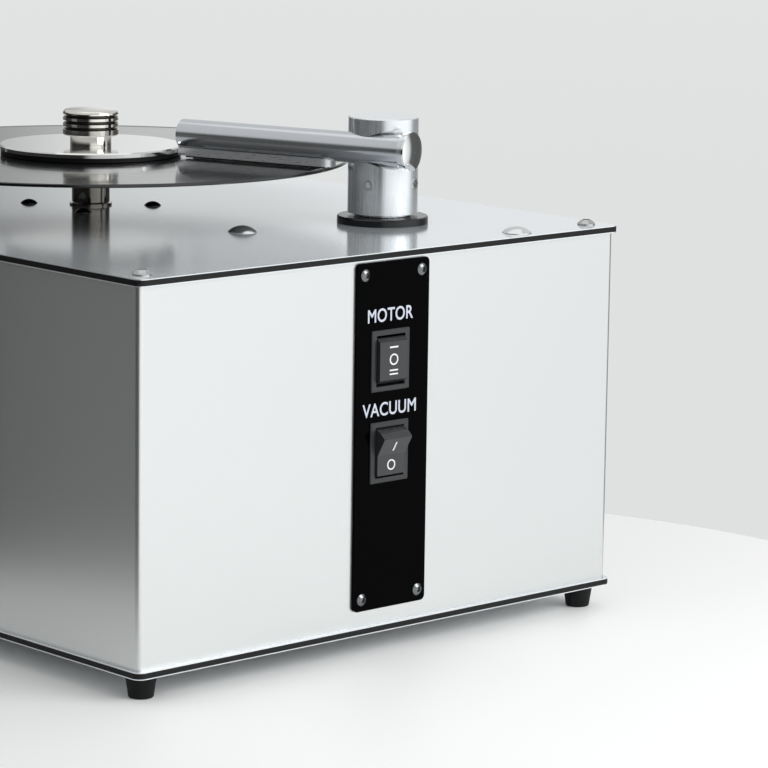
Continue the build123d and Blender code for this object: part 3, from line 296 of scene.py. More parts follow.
def grooved(name, colour, centre, tracks, track_gap):
    """Pressed record: fine noise rings are the groove, and smooth shining bands part the tracks.
    tracks holds the radii of those bands and track_gap is their width, in millimetres. The real
    groove is about 0.1 mm wide, and is drawn at 0.5 mm so that it shows."""
    material = turned(name, colour, GROOVE_ROUGHNESS, centre, metallic=0.0, pitch=0.5,
                      relief=0.008,
                      settings={"IOR": 1.54, "Coat Weight": 0.35, "Coat Roughness": 0.05})
    tree = material.node_tree
    radius = next(n for n in tree.nodes if n.bl_idname == "ShaderNodeVectorMath"
                  and n.operation == "LENGTH").outputs[1]
    mask = None
    for track in tracks:
        near = add(tree, "ShaderNodeMath", {"operation": "COMPARE", 1: track * MM,
                                            2: track_gap * MM / 2}, {0: radius}).outputs[0]
        mask = near if mask is None else add(
            tree, "ShaderNodeMath", {"operation": "MAXIMUM"}, {0: mask, 1: near}).outputs[0]
    ramp = add(tree, "ShaderNodeMapRange", {
        "To Min": GROOVE_ROUGHNESS, "To Max": TRACK_GAP_ROUGHNESS}, {"Value": mask})
    tree.links.new(ramp.outputs[0], tree.nodes["Principled BSDF"].inputs["Roughness"])
    return material


# ---- sizes and colours a user would change ---------------------------------------------
class RecordCleanerFinish(bpy.types.PropertyGroup):
    """Colours and roughness of what shows most."""
    sheet_roughness: FloatProperty(
        name="Sheet roughness", description="Roughness of the anodised casing", default=0.31,
        min=0.05, max=1.0, subtype="FACTOR")
    deck_roughness: FloatProperty(
        name="Deck roughness", description="Roughness of the top plate's bright skin",
        default=0.13, min=0.02, max=1.0, subtype="FACTOR")
    letter_colour: FloatVectorProperty(
        name="Lettering", description="Printed words", size=4,
        default=linear("#C6CBD8"), subtype="COLOR", min=0.0, max=1.0)


class RecordCleanerLettering(bpy.types.PropertyGroup):
    """Size and place of the printed words."""
    motor_width: FloatProperty(
        name="MOTOR width", description="Width of the word over the upper switch",
        default=32.8 * MM, unit="LENGTH")
    vacuum_width: FloatProperty(
        name="VACUUM width", description="Width of the word over the lower switch",
        default=39.0 * MM, unit="LENGTH")
    cap_height: FloatProperty(
        name="Capital height", description="Height of the capitals", default=7.4 * MM,
        unit="LENGTH")
    motor_drop: FloatProperty(
        name="MOTOR drop", description="Middle of the upper word below the top plate",
        default=34.2 * MM, unit="LENGTH")
    vacuum_drop: FloatProperty(
        name="VACUUM drop", description="Middle of the lower word below the top plate",
        default=85.4 * MM, unit="LENGTH")
    aside: FloatProperty(
        name="Aside", description="How far the words' middle is left of the strip's middle",
        default=1.9 * MM, unit="LENGTH")


class RecordCleanerStudio(bpy.types.PropertyGroup):
    """Table, lights and lens."""
    table_radius: FloatProperty(
        name="Table radius", description="Radius of the round white table top", default=0.380,
        unit="LENGTH")
    lens: FloatProperty(
        name="Lens", description="Focal length on a 36 mm sensor", default=173.71,
        subtype="DISTANCE_CAMERA")
    softbox_power: FloatProperty(
        name="Softbox power", description="Radiant power of the large front softbox",
        default=22.5, unit="POWER")
    side_power: FloatProperty(
        name="Side power", description="Radiant power of the small softbox at the left rear",
        default=0.04, unit="POWER")
    overhead_power: FloatProperty(
        name="Overhead power", description="Radiant power of the overhead softbox",
        default=3.0, unit="POWER")


# ---- finishes --------------------------------------------------------------------------
def machine_finishes(settings):
    """Every finish on the machine, by the name of what it is made of. Grains that are finer
    than a pixel in life are drawn about as wide as one, so that they show at all."""
    made = {}
    # Anodised aluminium sheet, bead blasted: soft, even, with a fine grit in the highlight.
    made["anodised_sheet"] = grained(
        "anodised aluminium sheet", "#DADCDC", settings.sheet_roughness, metallic=0.93,
        size=(0.5, 0.5, 0.5), relief=0.012, swing=0.03, tone=0.02)
    # Bright rolled skin of a composite plate: smoother, so it mirrors what stands on it.
    made["bright_skin"] = grained(
        "rolled aluminium skin", "#E0E4E8", settings.deck_roughness, metallic=0.62,
        size=(0.4, 0.4, 0.4), relief=0.002, swing=0.03, tone=0.015)
    # Polyethylene core of the composite plate: sawn edge, dull black.
    made["black_core"] = grained(
        "polyethylene core", "#0B0B0C", 0.6, size=(0.7, 0.7, 0.5), relief=0.25, swing=0.1,
        tone=0.8, detail=4.0, settings={"IOR": 1.5, "Specular IOR Level": 0.3})
    # Moulded rubber feet: matte, with a slight bloom.
    made["foot_rubber"] = grained(
        "moulded rubber", "#0E0F10", 0.62, size=(0.6, 0.6, 0.6), relief=0.02, swing=0.08,
        tone=0.15, settings={"IOR": 1.52, "Specular IOR Level": 0.2})
    # Turned rubber seal: blacker and a little smoother than the feet, with a dull sheen.
    made["seal_rubber"] = grained(
        "turned rubber", "#060607", 0.5, size=(0.5, 0.5, 0.5), relief=0.015, swing=0.08,
        tone=0.15, settings={"IOR": 1.52, "Specular IOR Level": 0.2})
    # Turned acetal ring: black, its flat top mirrors the room at a low angle.
    made["polished_acetal"] = turned(
        "turned acetal", "#0C0D0E", 0.2, arm_axis, metallic=0.0, relief=0.001, swing=0.04,
        settings={"IOR": 1.48})
    # Cast acrylic strip: deep black. Its gloss is held down, as a dark part of the room lies in it.
    made["black_acrylic"] = grained(
        "cast acrylic", "#020203", 0.10, size=(14.0, 14.0, 14.0), relief=0.004, swing=0.02,
        tone=0.1, settings={"IOR": 1.49, "Specular IOR Level": 0.02})
    # Moulded polyamide switch body: satin grey black from a spark eroded mould.
    made["switch_polyamide"] = grained(
        "moulded polyamide", "#252628", 0.42, size=(0.25, 0.25, 0.25), relief=0.012, swing=0.06,
        tone=0.08, settings={"IOR": 1.53})
    # Rocker of the same polyamide: smoother, and painted a shade lighter to stand in for the light
    # its faces catch.
    made["painted_light_rocker"] = grained(
        "moulded polyamide rocker", "#2B2C2F", 0.24, size=(0.25, 0.25, 0.25), relief=0.012,
        swing=0.05, tone=0.08, settings={"IOR": 1.53})
    # Turned stainless steel spindle: a darker, warmer mirror than the aluminium round it.
    made["turned_spindle"] = turned(
        "turned stainless steel", "#75716B", 0.13, spindle, relief=0.0003, swing=0.03)
    # Polished aluminium knob: a warm mirror with faint rings from the lathe.
    made["polished_clamp"] = turned(
        "polished aluminium clamp", "#E4E1DA", 0.10, spindle, relief=0.0002, swing=0.02)
    # The knob's grooves: rougher turned aluminium, in a dark grey that is painted shade deep in
    # them.
    made["cut_groove"] = turned(
        "unpolished turned aluminium", "#4A4743", 0.35, spindle, relief=0.0003, swing=0.05)
    # Polished aluminium cover: neutral, with rings that draw a highlight out over its slope.
    made["mirror_cover"] = turned(
        "polished aluminium cover", "#E3E3E2", 0.09, spindle, relief=0.001, swing=0.02)
    # Drawn aluminium bar for the post: faint upright lines that soften the room's bands.
    made["turned_post"] = grained(
        "drawn aluminium post", "#E4E8EB", 0.24, metallic=0.78, size=(0.9, 0.9, 90.0),
        relief=0.004, swing=0.08, tone=0.04)
    # Reamed aluminium in the post's mouth: pale and soft, it catches light from all sides.
    made["flare"] = grained(
        "reamed aluminium", "#F2F3F4", 0.3, metallic=0.7, size=(0.4, 0.4, 0.4), relief=0.001,
        swing=0.04)
    # Drawn aluminium tube: faint lines along its length.
    made["drawn_tube"] = grained(
        "drawn aluminium tube", "#D3D6DA", 0.18, metallic=0.86, size=(40.0, 0.5, 0.5),
        turn=ARM_HEADING, relief=0.0015, swing=0.05)
    # Milled aluminium bar under the tube: satin, with the cutter's lines along it.
    made["milled_bar"] = grained(
        "milled aluminium bar", "#E3E4E6", 0.30, metallic=0.6, size=(6.0, 0.4, 0.4),
        turn=ARM_HEADING, relief=0.004, swing=0.05)
    # Chrome plate on the end plug: a clean mirror with a slight waviness.
    made["chrome"] = grained(
        "bright chrome plate", "#F2F3F3", 0.05, metallic=1.0, size=(3.0, 3.0, 3.0), relief=0.001,
        swing=0.015)
    # Barrel polished steel bolts: bright, with soft highlights on their domes.
    made["satin_steel"] = grained(
        "barrel polished steel", "#E0E2E2", 0.17, metallic=0.9, size=(0.5, 0.5, 0.5),
        relief=0.002, swing=0.05)
    # Machined stainless steel of the small socket screws, with a bright glint; its colour is
    # darkened below that of bright steel as painted shade.
    made["painted_shade_steel"] = grained(
        "machined stainless steel", "#77797B", 0.18, metallic=1.0, size=(0.3, 0.3, 0.3),
        relief=0.004, swing=0.06)
    # Cold formed stainless steel screws and shafts: plain grey metal.
    made["screw_steel"] = grained(
        "cold formed stainless steel", "#BDBDBD", 0.22, metallic=1.0, size=(0.3, 0.3, 0.3),
        relief=0.004, swing=0.06)
    # Pressed vinyl: gloss black, the groove is fine rings that spread the light sideways.
    made["record_vinyl"] = grooved(
        "pressed vinyl", "#07090B", spindle, TRACK_GAPS, TRACK_GAP_WIDTH)
    # Moulded ABS caps: black gloss with one small highlight each.
    made["black_gloss_cap"] = grained(
        "gloss moulded ABS", "#0A0A0B", 0.15, size=(2.0, 2.0, 2.0), relief=0.002, swing=0.04,
        settings={"IOR": 1.5})
    # Pressed wool felt: matte, with a loose uneven surface and a little sheen.
    made["felt"] = grained(
        "wool felt", "#131314", 0.95, size=(0.3, 0.3, 0.3), relief=0.15, tone=0.3, detail=5.0,
        settings={"Sheen Weight": 0.3, "Sheen Roughness": 0.5})
    # Woven cotton velvet: near black face on, paler at its edges.
    made["velvet"] = grained(
        "cotton velvet", "#0C0C0D", 0.95, size=(0.2, 0.2, 0.2), relief=0.1, tone=0.3, detail=5.0,
        settings={"Sheen Weight": 0.5, "Sheen Roughness": 0.4})
    # The rest stands inside the closed casing or behind it.
    # Sawn aluminium bar: dull, with marks along its height.
    made["inner_bar"] = grained(
        "sawn aluminium bar", "#B4B6B8", 0.4, metallic=1.0, size=(0.5, 0.5, 20.0), relief=0.01,
        swing=0.08)
    # Die cast zinc: grey, rough and blotched.
    made["cast_zinc"] = grained(
        "cast zinc", "#8E9093", 0.5, metallic=1.0, size=(1.0, 1.0, 1.0), relief=0.02, swing=0.08)
    # Stove enamel on the motor: black and satin, with a faint orange peel.
    made["motor_paint"] = grained(
        "black stove enamel", "#1B1C1E", 0.4, size=(1.2, 1.2, 1.2), relief=0.02, swing=0.06,
        tone=0.1)
    # Blow moulded polyethylene tank: milky, with light in its walls.
    made["tank_polythene"] = grained(
        "natural polyethylene", "#D5D3CC", 0.45, size=(3.0, 3.0, 3.0), relief=0.02, swing=0.05,
        tone=0.05, settings={"Subsurface Weight": 0.2})
    # Moulded polypropylene: black and dull, with a fine mould texture.
    made["black_polypropylene"] = grained(
        "black polypropylene", "#1C1D1F", 0.48, size=(0.4, 0.4, 0.4), relief=0.015, swing=0.06,
        tone=0.1, settings={"IOR": 1.49})
    # Pressed aluminium shells: even satin.
    made["pressed_aluminium"] = grained(
        "pressed aluminium", "#B9BBBE", 0.35, metallic=1.0, size=(0.6, 0.6, 0.6), relief=0.008,
        swing=0.06)
    # Machined brass: warm yellow, bright on its cut faces.
    made["machined_brass"] = grained(
        "machined brass", "#C8A55A", 0.25, metallic=1.0, size=(0.4, 0.4, 0.4), relief=0.005,
        swing=0.06)
    return made


NODE_FINISHES = {
    "anodised_sheet": ("casing_wrap", "rear_panel"),
    "bright_skin": ("base_plate_skins", "top_plate_skins"),
    "black_core": ("base_plate_core", "top_plate_core"),
    "foot_rubber": ("feet",),
    "seal_rubber": ("cover_seal",),
    "polished_acetal": ("arm_ring",),
    "black_acrylic": ("control_strip",),
    "switch_polyamide": ("motor_switch_body", "vacuum_switch_body"),
    "painted_light_rocker": ("motor_rocker", "vacuum_rocker"),
    "turned_spindle": ("spindle_post", "spindle_bush"),
    "polished_clamp": ("clamp_knob", "support_disc"),
    "mirror_cover": ("label_cover",),
    "turned_post": ("arm_post", "arm_sleeve"),
    "drawn_tube": ("arm_tube",),
    "milled_bar": ("nozzle_bar",),
    "chrome": ("end_plug",),
    "satin_steel": ("dome_bolts", "arm_screws"),
    "painted_shade_steel": ("strip_screws",),
    "screw_steel": ("corner_screws", "rear_screws", "foot_screws",
                    "post_screws", "knob_screw", "drive_shaft", "pivot_shaft", "dome_nuts"),
    "record_vinyl": ("record",),
    "black_gloss_cap": ("motor_screws",),
    "felt": ("support_pad",),
    "velvet": ("velvet_strips",),
    "inner_bar": ("corner_bars",),
    "cast_zinc": ("gear_head",),
    "motor_paint": ("drive_motor",),
    "tank_polythene": ("waste_tank", "tank_lid"),
    "black_polypropylene": ("air_duct", "vacuum_turbine", "drain_pipe", "power_inlet",
                            "vent_grille", "terminal_block", "tip_plug"),
    "pressed_aluminium": ("turbine_motor", "turbine_cradle", "run_capacitor"),
    "machined_brass": ("pivot_bush", "pivot_collar", "drain_spout"),
}

finishes = {}


# ---- meshes ----------------------------------------------------------------------------
def piece(name, mesh, finish, body, replaced=()):
    """Object at the origin that carries a finished mesh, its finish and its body."""
    mesh.materials.append(finishes[finish])
    thing = bpy.data.objects.new(name, mesh)
    bpy.context.scene.collection.objects.link(thing)
    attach(thing, body)
    if replaced:
        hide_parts(*replaced)
    return thing


def word_mesh(text, width, height, thickness, bold=0.0):
    """Printed word as a thin mesh: width and height are fitted, letters lie in X and Z. bold is
    how far the outline grows, as a share of the type's size."""
    curve = bpy.data.curves.new(text, "FONT")
    curve.body = text
    curve.offset = bold
    curve.extrude = 0.5  # any depth will do, because the mesh is scaled to its thickness
    curve.space_character = LETTER_SPACING
    holder = bpy.data.objects.new(text, curve)
    bpy.context.scene.collection.objects.link(holder)
    bpy.context.view_layer.update()
    mesh = bpy.data.meshes.new_from_object(holder)
    bpy.data.objects.remove(holder)
    bpy.data.curves.remove(curve)
    points = np.empty(len(mesh.vertices) * 3)
    mesh.vertices.foreach_get("co", points)
    points = points.reshape(-1, 3)
    start, end = points.min(0), points.max(0)
    unit = (points - (start + end) / 2) / (end - start)
    placed = np.stack([unit[:, 0] * width, -unit[:, 2] * thickness, unit[:, 1] * height], 1)
    mesh.vertices.foreach_set("co", placed.ravel())
    mesh.update()
    return mesh


def shift(mesh, offset):
    """Moves a mesh, in metres."""
    mesh.transform(Matrix.Translation(offset))
    return mesh


def face_axes(lean):
    """Directions down a front face and out of it, when its top leans out by lean degrees."""
    turn = math.radians(lean)
    down = np.array([0.0, math.sin(turn), -math.cos(turn)])
    out = np.array([0.0, -math.cos(turn), -math.sin(turn)])
    return down, out


def revolve(profile, centre, segments):
    """Surface of revolution: point(s, a) = centre + (r(s) cos a, r(s) sin a, z(s))."""
    profile = np.asarray(profile, float)
    angle = np.linspace(0.0, 2.0 * np.pi, segments, endpoint=False)
    ring = np.stack([np.cos(angle), np.sin(angle)], -1)
    flat = profile[:, None, :1] * ring[None] + np.asarray(centre[:2])
    rise = np.broadcast_to(profile[:, None, 1:], (len(profile), segments, 1))
    return np.concatenate([flat, rise], -1)


def grid_mesh(name, grid, sharp):
    """Mesh of quads over a grid of points (rows, columns, 3), in millimetres, whose columns
    close on themselves. Points that fall together are merged, so poles and seams close, and
    edges that bend by more than sharp degrees stay sharp."""
    rows, columns = grid.shape[:2]
    index = np.arange(rows * columns).reshape(rows, columns)
    after = np.roll(index, -1, axis=1)
    quads = np.stack([index[:-1], after[:-1], after[1:], index[1:]], -1).reshape(-1, 4)
    mesh = bpy.data.meshes.new(name)
    mesh.from_pydata(grid.reshape(-1, 3) * MM, [], quads.tolist())
    work = bmesh.new()
    work.from_mesh(mesh)
    bmesh.ops.remove_doubles(work, verts=work.verts, dist=MERGE_REACH_M)
    bmesh.ops.recalc_face_normals(work, faces=work.faces)
    work.to_mesh(mesh)
    work.free()
    mesh.polygons.foreach_set("use_smooth", np.ones(len(mesh.polygons), bool))
    mesh.set_sharp_from_angle(angle=math.radians(sharp))
    return mesh


def knob_profile(base):
    """Outline of the knob as (radius, height): the neck, then a grip of even radius with square
    cut grooves. Its shoulder follows an ellipse, radius = grip - size (1 - cos t) and height =
    foot + size sin t, and its crown falls from the top with the square of the radius."""
    profile = [np.array(KNOB_NECK)]
    dip = np.array(GROOVE_DIP) * KNOB_GROOVE_DEPTH
    step = np.array(GROOVE_STEP) * KNOB_GROOVE_WIDTH / 2
    for middle in KNOB_GROOVES:
        profile.append(np.stack([KNOB_RADIUS - dip, middle + step], 1))
    foot, size = KNOB_SHOULDER
    turn = np.linspace(0.0, SHOULDER_TURN, SHOULDER_POINTS)
    shoulder = np.stack([KNOB_RADIUS - size * (1.0 - np.cos(turn)),
                         foot + size * np.sin(turn)], 1)
    rim, rise = shoulder[-1]
    out = np.linspace(1.0, 0.0, CROWN_POINTS)[1:]
    crown = np.stack([rim * out, rise + (KNOB_TOP - rise) * (1.0 - out**2)], 1)
    profile = np.concatenate([*profile, shoulder, crown])
    profile[:, 1] += base
    return profile


def paint_groove_shade(mesh, base):
    """Gives the faces deep in the knob's grooves the mesh's second material, the painted shade in
    the grooves.
    """
    centres = np.empty(len(mesh.polygons) * 3)
    mesh.polygons.foreach_get("center", centres)
    centres = centres.reshape(-1, 3) / MM - [*spindle[:2], base]
    sunk = (np.hypot(centres[:, 0], centres[:, 1])
            < KNOB_RADIUS - KNOB_GROOVE_DEPTH * GROOVE_SHADE_SHARE)
    grip = ((centres[:, 2] > KNOB_GROOVES[0] - KNOB_GROOVE_WIDTH)
            & (centres[:, 2] < KNOB_GROOVES[-1] + KNOB_GROOVE_WIDTH))
    mesh.polygons.foreach_set("material_index", (sunk & grip).astype(np.int32))


def mouth_grid():
    """Trumpet between tube and post. At angle a round the tube its outer edge lies where the
    countersink meets the post; from there the radius shrinks to the tube's while the
    surface sinks by depth (1 - s)^2. A second skin behind it closes the section."""
    tube_z = (low("arm_tube")[2] + high("arm_tube")[2]) / 2
    angle = np.radians(np.linspace(-FLARE_SWEEP, FLARE_SWEEP, FLARE_POINTS_ROUND))[:, None]
    share = np.linspace(0.0, 1.0, FLARE_POINTS_ACROSS)[None]
    reach = POST_RADIUS * np.ones_like(angle)
    for _ in range(FLARE_ROUNDS):
        edge = CONE_WIDE - (CONE_WIDE - CONE_NARROW) * (CONE_LENGTH - reach) / CONE_LENGTH
        aside = edge * np.cos(angle) - ARM_OFFSET
        reach = np.sqrt(np.maximum(POST_RADIUS**2 - aside**2, FLARE_LEAST_REACH**2))
    radius = FLARE_INNER + (edge - FLARE_INNER) * share
    front = -reach + FLARE_DEPTH * (1.0 - share) ** 2
    radius = np.concatenate([radius, radius[:, ::-1]], 1)
    along = np.concatenate([front, front[:, ::-1] + FLARE_THICKNESS], 1)
    aside = radius * np.cos(angle) - ARM_OFFSET
    rise = radius * np.sin(angle) + tube_z
    turn = math.radians(ARM_HEADING - 90.0)
    grid = np.stack([
        arm_axis[0] + aside * math.cos(turn) - along * math.sin(turn),
        arm_axis[1] + aside * math.sin(turn) + along * math.cos(turn), rise], -1)
    ends = [np.broadcast_to(row.mean(0), row.shape)[None] for row in (grid[0], grid[-1])]
    return np.concatenate([ends[0], grid, ends[1]])


# ---- operators for the machine ---------------------------------------------------------
class RECORDCLEANER_OT_finishes(bpy.types.Operator):
    """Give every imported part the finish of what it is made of"""
    bl_idname = "recordcleaner.finishes"
    bl_label = "Finishes"

    def execute(self, context):
        finishes.update(machine_finishes(context.scene.recordcleaner_finish))
        for finish, names in NODE_FINISHES.items():
            for name in names:
                node = frame["nodes"][name]
                node.data.materials.clear()
                node.data.materials.append(finishes[finish])
        left = set(frame["nodes"]) - {n for names in NODE_FINISHES.values() for n in names}
        if left:
            raise RuntimeError(f"these parts have no finish: {sorted(left)}")
        return {"FINISHED"}


class RECORDCLEANER_OT_lettering(bpy.types.Operator):
    """Print the two words on the control strip"""
    bl_idname = "recordcleaner.lettering"
    bl_label = "Lettering"

    def execute(self, context):
        sizes = context.scene.recordcleaner_lettering
        colour = context.scene.recordcleaner_finish.letter_colour
        # Screen printed ink: thin, matte and even. Its colour is a setting.
        finishes["print"] = grained("screen print ink", "#FFFFFF", 0.6, size=(0.3, 0.3, 0.3),
                                    swing=0.05, settings={"Base Color": colour})
        thickness = INK_THICKNESS * MM
        words = (("MOTOR", sizes.motor_width, sizes.motor_drop),
                 ("VACUUM", sizes.vacuum_width, sizes.vacuum_drop))
        for text, width, drop in words:
            mesh = word_mesh(text, width, sizes.cap_height, thickness, LETTER_BOLD)
            offset = (strip_middle * MM - sizes.aside, strip_face * MM - thickness / 2,
                      deck * MM - drop)
            piece(f"word_{text.lower()}", shift(mesh, offset), "print", "chassis")
        return {"FINISHED"}


class RECORDCLEANER_OT_rocker_marks(bpy.types.Operator):
    """Print the position marks on the two rockers"""
    bl_idname = "recordcleaner.rocker_marks"
    bl_label = "Rocker marks"

    def execute(self, context):
        # Pad printed ink: as thin as the words' but whiter, and sharp on the grey rockers.
        finishes["pad_print"] = grained("pad print ink", "#E6E8E9", 0.5, size=(0.3, 0.3, 0.3),
                                        swing=0.05)
        face = low("motor_rocker")[1]
        pivot = place("motor_rocker_tilt")
        for name, glyph, width, height, rise in MOTOR_MARKS:
            mark = word_mesh(glyph, width * MM, height * MM, INK_THICKNESS * MM)
            offset = np.array([pivot[0], face - INK_THICKNESS / 2, pivot[2] + rise]) * MM
            piece(f"mark_motor_{name}", shift(mark, offset), "pad_print", "motor_rocker")
        pivot = place("vacuum_rocker_tilt")
        tip = np.array([pivot[0], low("vacuum_rocker")[1], pivot[2] + VACUUM_TIP_RISE])
        fold = tip + VACUUM_UPPER_FACE * face_axes(VACUUM_LEAN)[0]
        for name, glyph, width, height, along, lean in VACUUM_MARKS:
            down, out = face_axes(lean)
            centre = (tip if lean else fold) + down * along + out * INK_THICKNESS / 2
            mark = word_mesh(glyph, width * MM, height * MM, INK_THICKNESS * MM)
            mark.transform(Matrix.Rotation(math.radians(lean), 4, "X"))
            piece(f"mark_vacuum_{name}", shift(mark, centre * MM), "pad_print", "vacuum_rocker")
        return {"FINISHED"}


class RECORDCLEANER_OT_knob(bpy.types.Operator):
    """Turn the clamp knob with its square grooves and rounded crown"""
    bl_idname = "recordcleaner.knob"
    bl_label = "Clamp knob"

    def execute(self, context):
        base = high("label_cover")[2]
        mesh = grid_mesh("knob", revolve(knob_profile(base), spindle, KNOB_SEGMENTS), sharp=40.0)
        piece("knob", mesh, "polished_clamp", "clamp", ("clamp_knob",))
        # The second material is painted shade deep in the grooves.
        mesh.materials.append(finishes["cut_groove"])
        paint_groove_shade(mesh, base)
        return {"FINISHED"}


class RECORDCLEANER_OT_mouth(bpy.types.Operator):
    """Flare the mouth of the post round the near end of the tube"""
    bl_idname = "recordcleaner.mouth"
    bl_label = "Arm mouth"

    def execute(self, context):
        mesh = grid_mesh("mouth", mouth_grid(), sharp=50.0)
        piece("arm_mouth", mesh, "flare", "arm")
        return {"FINISHED"}


# ---- studio ----------------------------------------------------------------------------
def build_table(settings):
    """Round white table top with a softened edge."""
    radius = settings.table_radius / MM
    profile = [(0.0, -TABLE_THICKNESS), (radius - TABLE_EDGE, -TABLE_THICKNESS),
               (radius, -TABLE_THICKNESS + TABLE_EDGE), (radius, -TABLE_EDGE),
               (radius - TABLE_EDGE * TABLE_EDGE_MIDDLE, -TABLE_EDGE * TABLE_EDGE_MIDDLE),
               (radius - TABLE_EDGE, 0.0), (0.0, 0.0)]
    mesh = grid_mesh("table", revolve(profile, TABLE_CENTRE, TABLE_SEGMENTS), sharp=32.0)
    # Pressed laminate: white and matte, it shows the soft shadow under the machine.
    mesh.materials.append(grained(
        "white laminate", "#F5F5F4", 0.5, size=(2.0, 2.0, 2.0), relief=0.004, swing=0.03,
        tone=0.005, settings={"IOR": 1.45}))
    table = bpy.data.objects.new("table", mesh)
    bpy.context.scene.collection.objects.link(table)


def soft_light(name, place_mm, target_mm, size, power):
    """Rectangular softbox that faces a point."""
    light = bpy.data.lights.new(name, "AREA")
    light.shape = "RECTANGLE"
    light.size, light.size_y = size
    light.energy = power
    holder = bpy.data.objects.new(name, light)
    bpy.context.scene.collection.objects.link(holder)
    start, end = np.array(place_mm) * MM, np.array(target_mm) * MM
    back = (start - end) / np.linalg.norm(start - end)
    side = np.cross((0.0, 0.0, 1.0), back)
    side /= np.linalg.norm(side)
    rise = np.cross(back, side)
    holder.matrix_world = Matrix.Translation(start) @ Matrix(
        np.stack([side, rise, back], 1).tolist()).to_4x4()


def build_lights(settings):
    """A high softbox in front on the right, a small one at the left rear, one overhead, and a
    room round them. The room's level goes by the heading of a ray, its angle round from +X,
    and passes into the ceiling's as the ray rises. The camera sees a plain backdrop instead."""
    for name, place_mm, target_mm, size, power in SOFTBOXES:
        soft_light(name, place_mm, target_mm, size, getattr(settings, power))
    world = bpy.data.worlds.new("studio room")
    bpy.context.scene.world = world
    world.use_nodes = True
    tree = world.node_tree
    tree.nodes.clear()
    coords = add(tree, "ShaderNodeTexCoord").outputs["Generated"]
    split = add(tree, "ShaderNodeSeparateXYZ", {}, {0: coords})
    heading = add(tree, "ShaderNodeMath", {"operation": "ARCTAN2"},
                  {0: split.outputs[1], 1: split.outputs[0]}).outputs[0]
    turns = add(tree, "ShaderNodeMath", {"operation": "MULTIPLY", 1: 0.5 / math.pi},
                {0: heading}).outputs[0]
    share = add(tree, "ShaderNodeMath", {"operation": "WRAP", 1: 1.0, 2: 0.0},
                {0: turns}).outputs[0]
    room = add(tree, "ShaderNodeValToRGB", {}, {"Fac": share})
    stops = room.color_ramp.elements
    for degrees, glow in ROOM[1:-1]:
        stops.new(degrees / 360.0).color = (glow, glow, glow, 1.0)
    for stop, (degrees, glow) in ((stops[0], ROOM[0]), (stops[-1], ROOM[-1])):
        stop.color = (glow, glow, glow, 1.0)
    above = add(tree, "ShaderNodeMapRange", {
        "interpolation_type": "SMOOTHSTEP", "From Min": CEILING_START,
        "From Max": CEILING_FULL}, {"Value": split.outputs[2]}).outputs[0]
    level = add(tree, "ShaderNodeMath", {"operation": "MULTIPLY", 1: ROOM_POWER},
                {0: room.outputs[0]}).outputs[0]
    glow = add(tree, "ShaderNodeMix", {"data_type": "FLOAT", 3: CEILING},
               {0: above, 2: level}).outputs[0]
    room_light = add(tree, "ShaderNodeBackground", {"Color": linear(ROOM_TINT)},
                     {"Strength": glow})
    seen = add(tree, "ShaderNodeMapRange", {
        "From Min": BACKDROP_LOW, "From Max": BACKDROP_HIGH, "To Min": BACKDROP_LOW_LEVEL,
        "To Max": BACKDROP_HIGH_LEVEL}, {"Value": split.outputs[2]}).outputs[0]
    shown = add(tree, "ShaderNodeBackground", {"Color": linear(ROOM_TINT)}, {"Strength": seen})
    path = add(tree, "ShaderNodeLightPath")
    mix = add(tree, "ShaderNodeMixShader", {}, {
        0: path.outputs["Is Camera Ray"], 1: room_light.outputs[0], 2: shown.outputs[0]})
    add(tree, "ShaderNodeOutputWorld", {}, {"Surface": mix.outputs[0]})


def build_camera(settings):
    """Long lens from the front left, a little above the top plate, fitted to the photograph."""
    camera = bpy.data.cameras.new("camera")
    camera.lens = settings.lens
    camera.sensor_width = CAMERA_SENSOR
    camera.clip_end = CAMERA_REACH_M
    yaw, pitch, roll = (math.radians(v) for v in (CAMERA_YAW, CAMERA_PITCH, CAMERA_ROLL))
    ahead = np.array([math.sin(yaw) * math.cos(pitch), math.cos(yaw) * math.cos(pitch),
                      -math.sin(pitch)])
    level = np.array([math.cos(yaw), -math.sin(yaw), 0.0])
    above = np.cross(level, ahead)
    side = math.cos(roll) * level + math.sin(roll) * above
    rise = -math.sin(roll) * level + math.cos(roll) * above
    holder = bpy.data.objects.new("camera", camera)
    bpy.context.scene.collection.objects.link(holder)
    turn = Matrix(np.stack([side, rise, -ahead], 1).tolist()).to_4x4()
    holder.matrix_world = Matrix.Translation(np.array(CAMERA_PLACE) * MM) @ turn
    bpy.context.scene.camera = holder


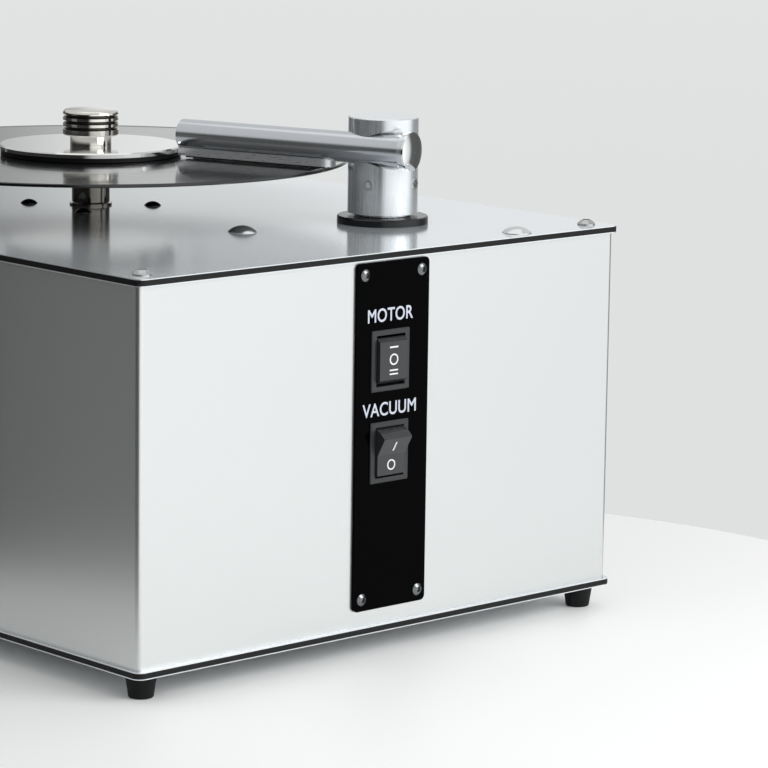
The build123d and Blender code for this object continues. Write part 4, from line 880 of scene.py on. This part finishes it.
class RECORDCLEANER_OT_studio(bpy.types.Operator):
    """Set the round table, the soft lights and the camera"""
    bl_idname = "recordcleaner.studio"
    bl_label = "Studio"

    def execute(self, context):
        settings = context.scene.recordcleaner_studio
        build_table(settings)
        build_lights(settings)
        build_camera(settings)
        context.scene.view_settings.view_transform = "Standard"
        return {"FINISHED"}


# ---- panel and registration ------------------------------------------------------------
class RECORDCLEANER_PT_panel(bpy.types.Panel):
    """Lists what dresses the machine"""
    bl_label = "Record cleaner"
    bl_idname = "RECORDCLEANER_PT_panel"
    bl_space_type = "VIEW_3D"
    bl_region_type = "UI"
    bl_category = "Record cleaner"

    def draw(self, context):
        for group in (context.scene.recordcleaner_finish, context.scene.recordcleaner_lettering,
                      context.scene.recordcleaner_studio):
            box = self.layout.box()
            for name in group.__annotations__:
                box.prop(group, name)
        for operator in OPERATORS:
            self.layout.operator(operator.bl_idname)


GROUPS = {
    "recordcleaner_finish": RecordCleanerFinish,
    "recordcleaner_lettering": RecordCleanerLettering,
    "recordcleaner_studio": RecordCleanerStudio,
}
OPERATORS = (
    RECORDCLEANER_OT_finishes,
    RECORDCLEANER_OT_lettering,
    RECORDCLEANER_OT_rocker_marks,
    RECORDCLEANER_OT_knob,
    RECORDCLEANER_OT_mouth,
    RECORDCLEANER_OT_studio,
)


def register():
    """Registers the settings, the operators and the panel."""
    for name, group in GROUPS.items():
        bpy.utils.register_class(group)
        setattr(bpy.types.Scene, name, PointerProperty(type=group))
    for operator in OPERATORS:
        bpy.utils.register_class(operator)
    bpy.utils.register_class(RECORDCLEANER_PT_panel)


def unregister():
    """Takes back what register did, in the opposite order."""
    bpy.utils.unregister_class(RECORDCLEANER_PT_panel)
    for operator in reversed(OPERATORS):
        bpy.utils.unregister_class(operator)
    for name, group in reversed(GROUPS.items()):
        delattr(bpy.types.Scene, name)
        bpy.utils.unregister_class(group)


def main():
    """Dresses the machine, one operator after another."""
    register()
    for operator in OPERATORS:
        family, action = operator.bl_idname.split(".")
        getattr(getattr(bpy.ops, family), action)()


if __name__ == "__main__":
    main()
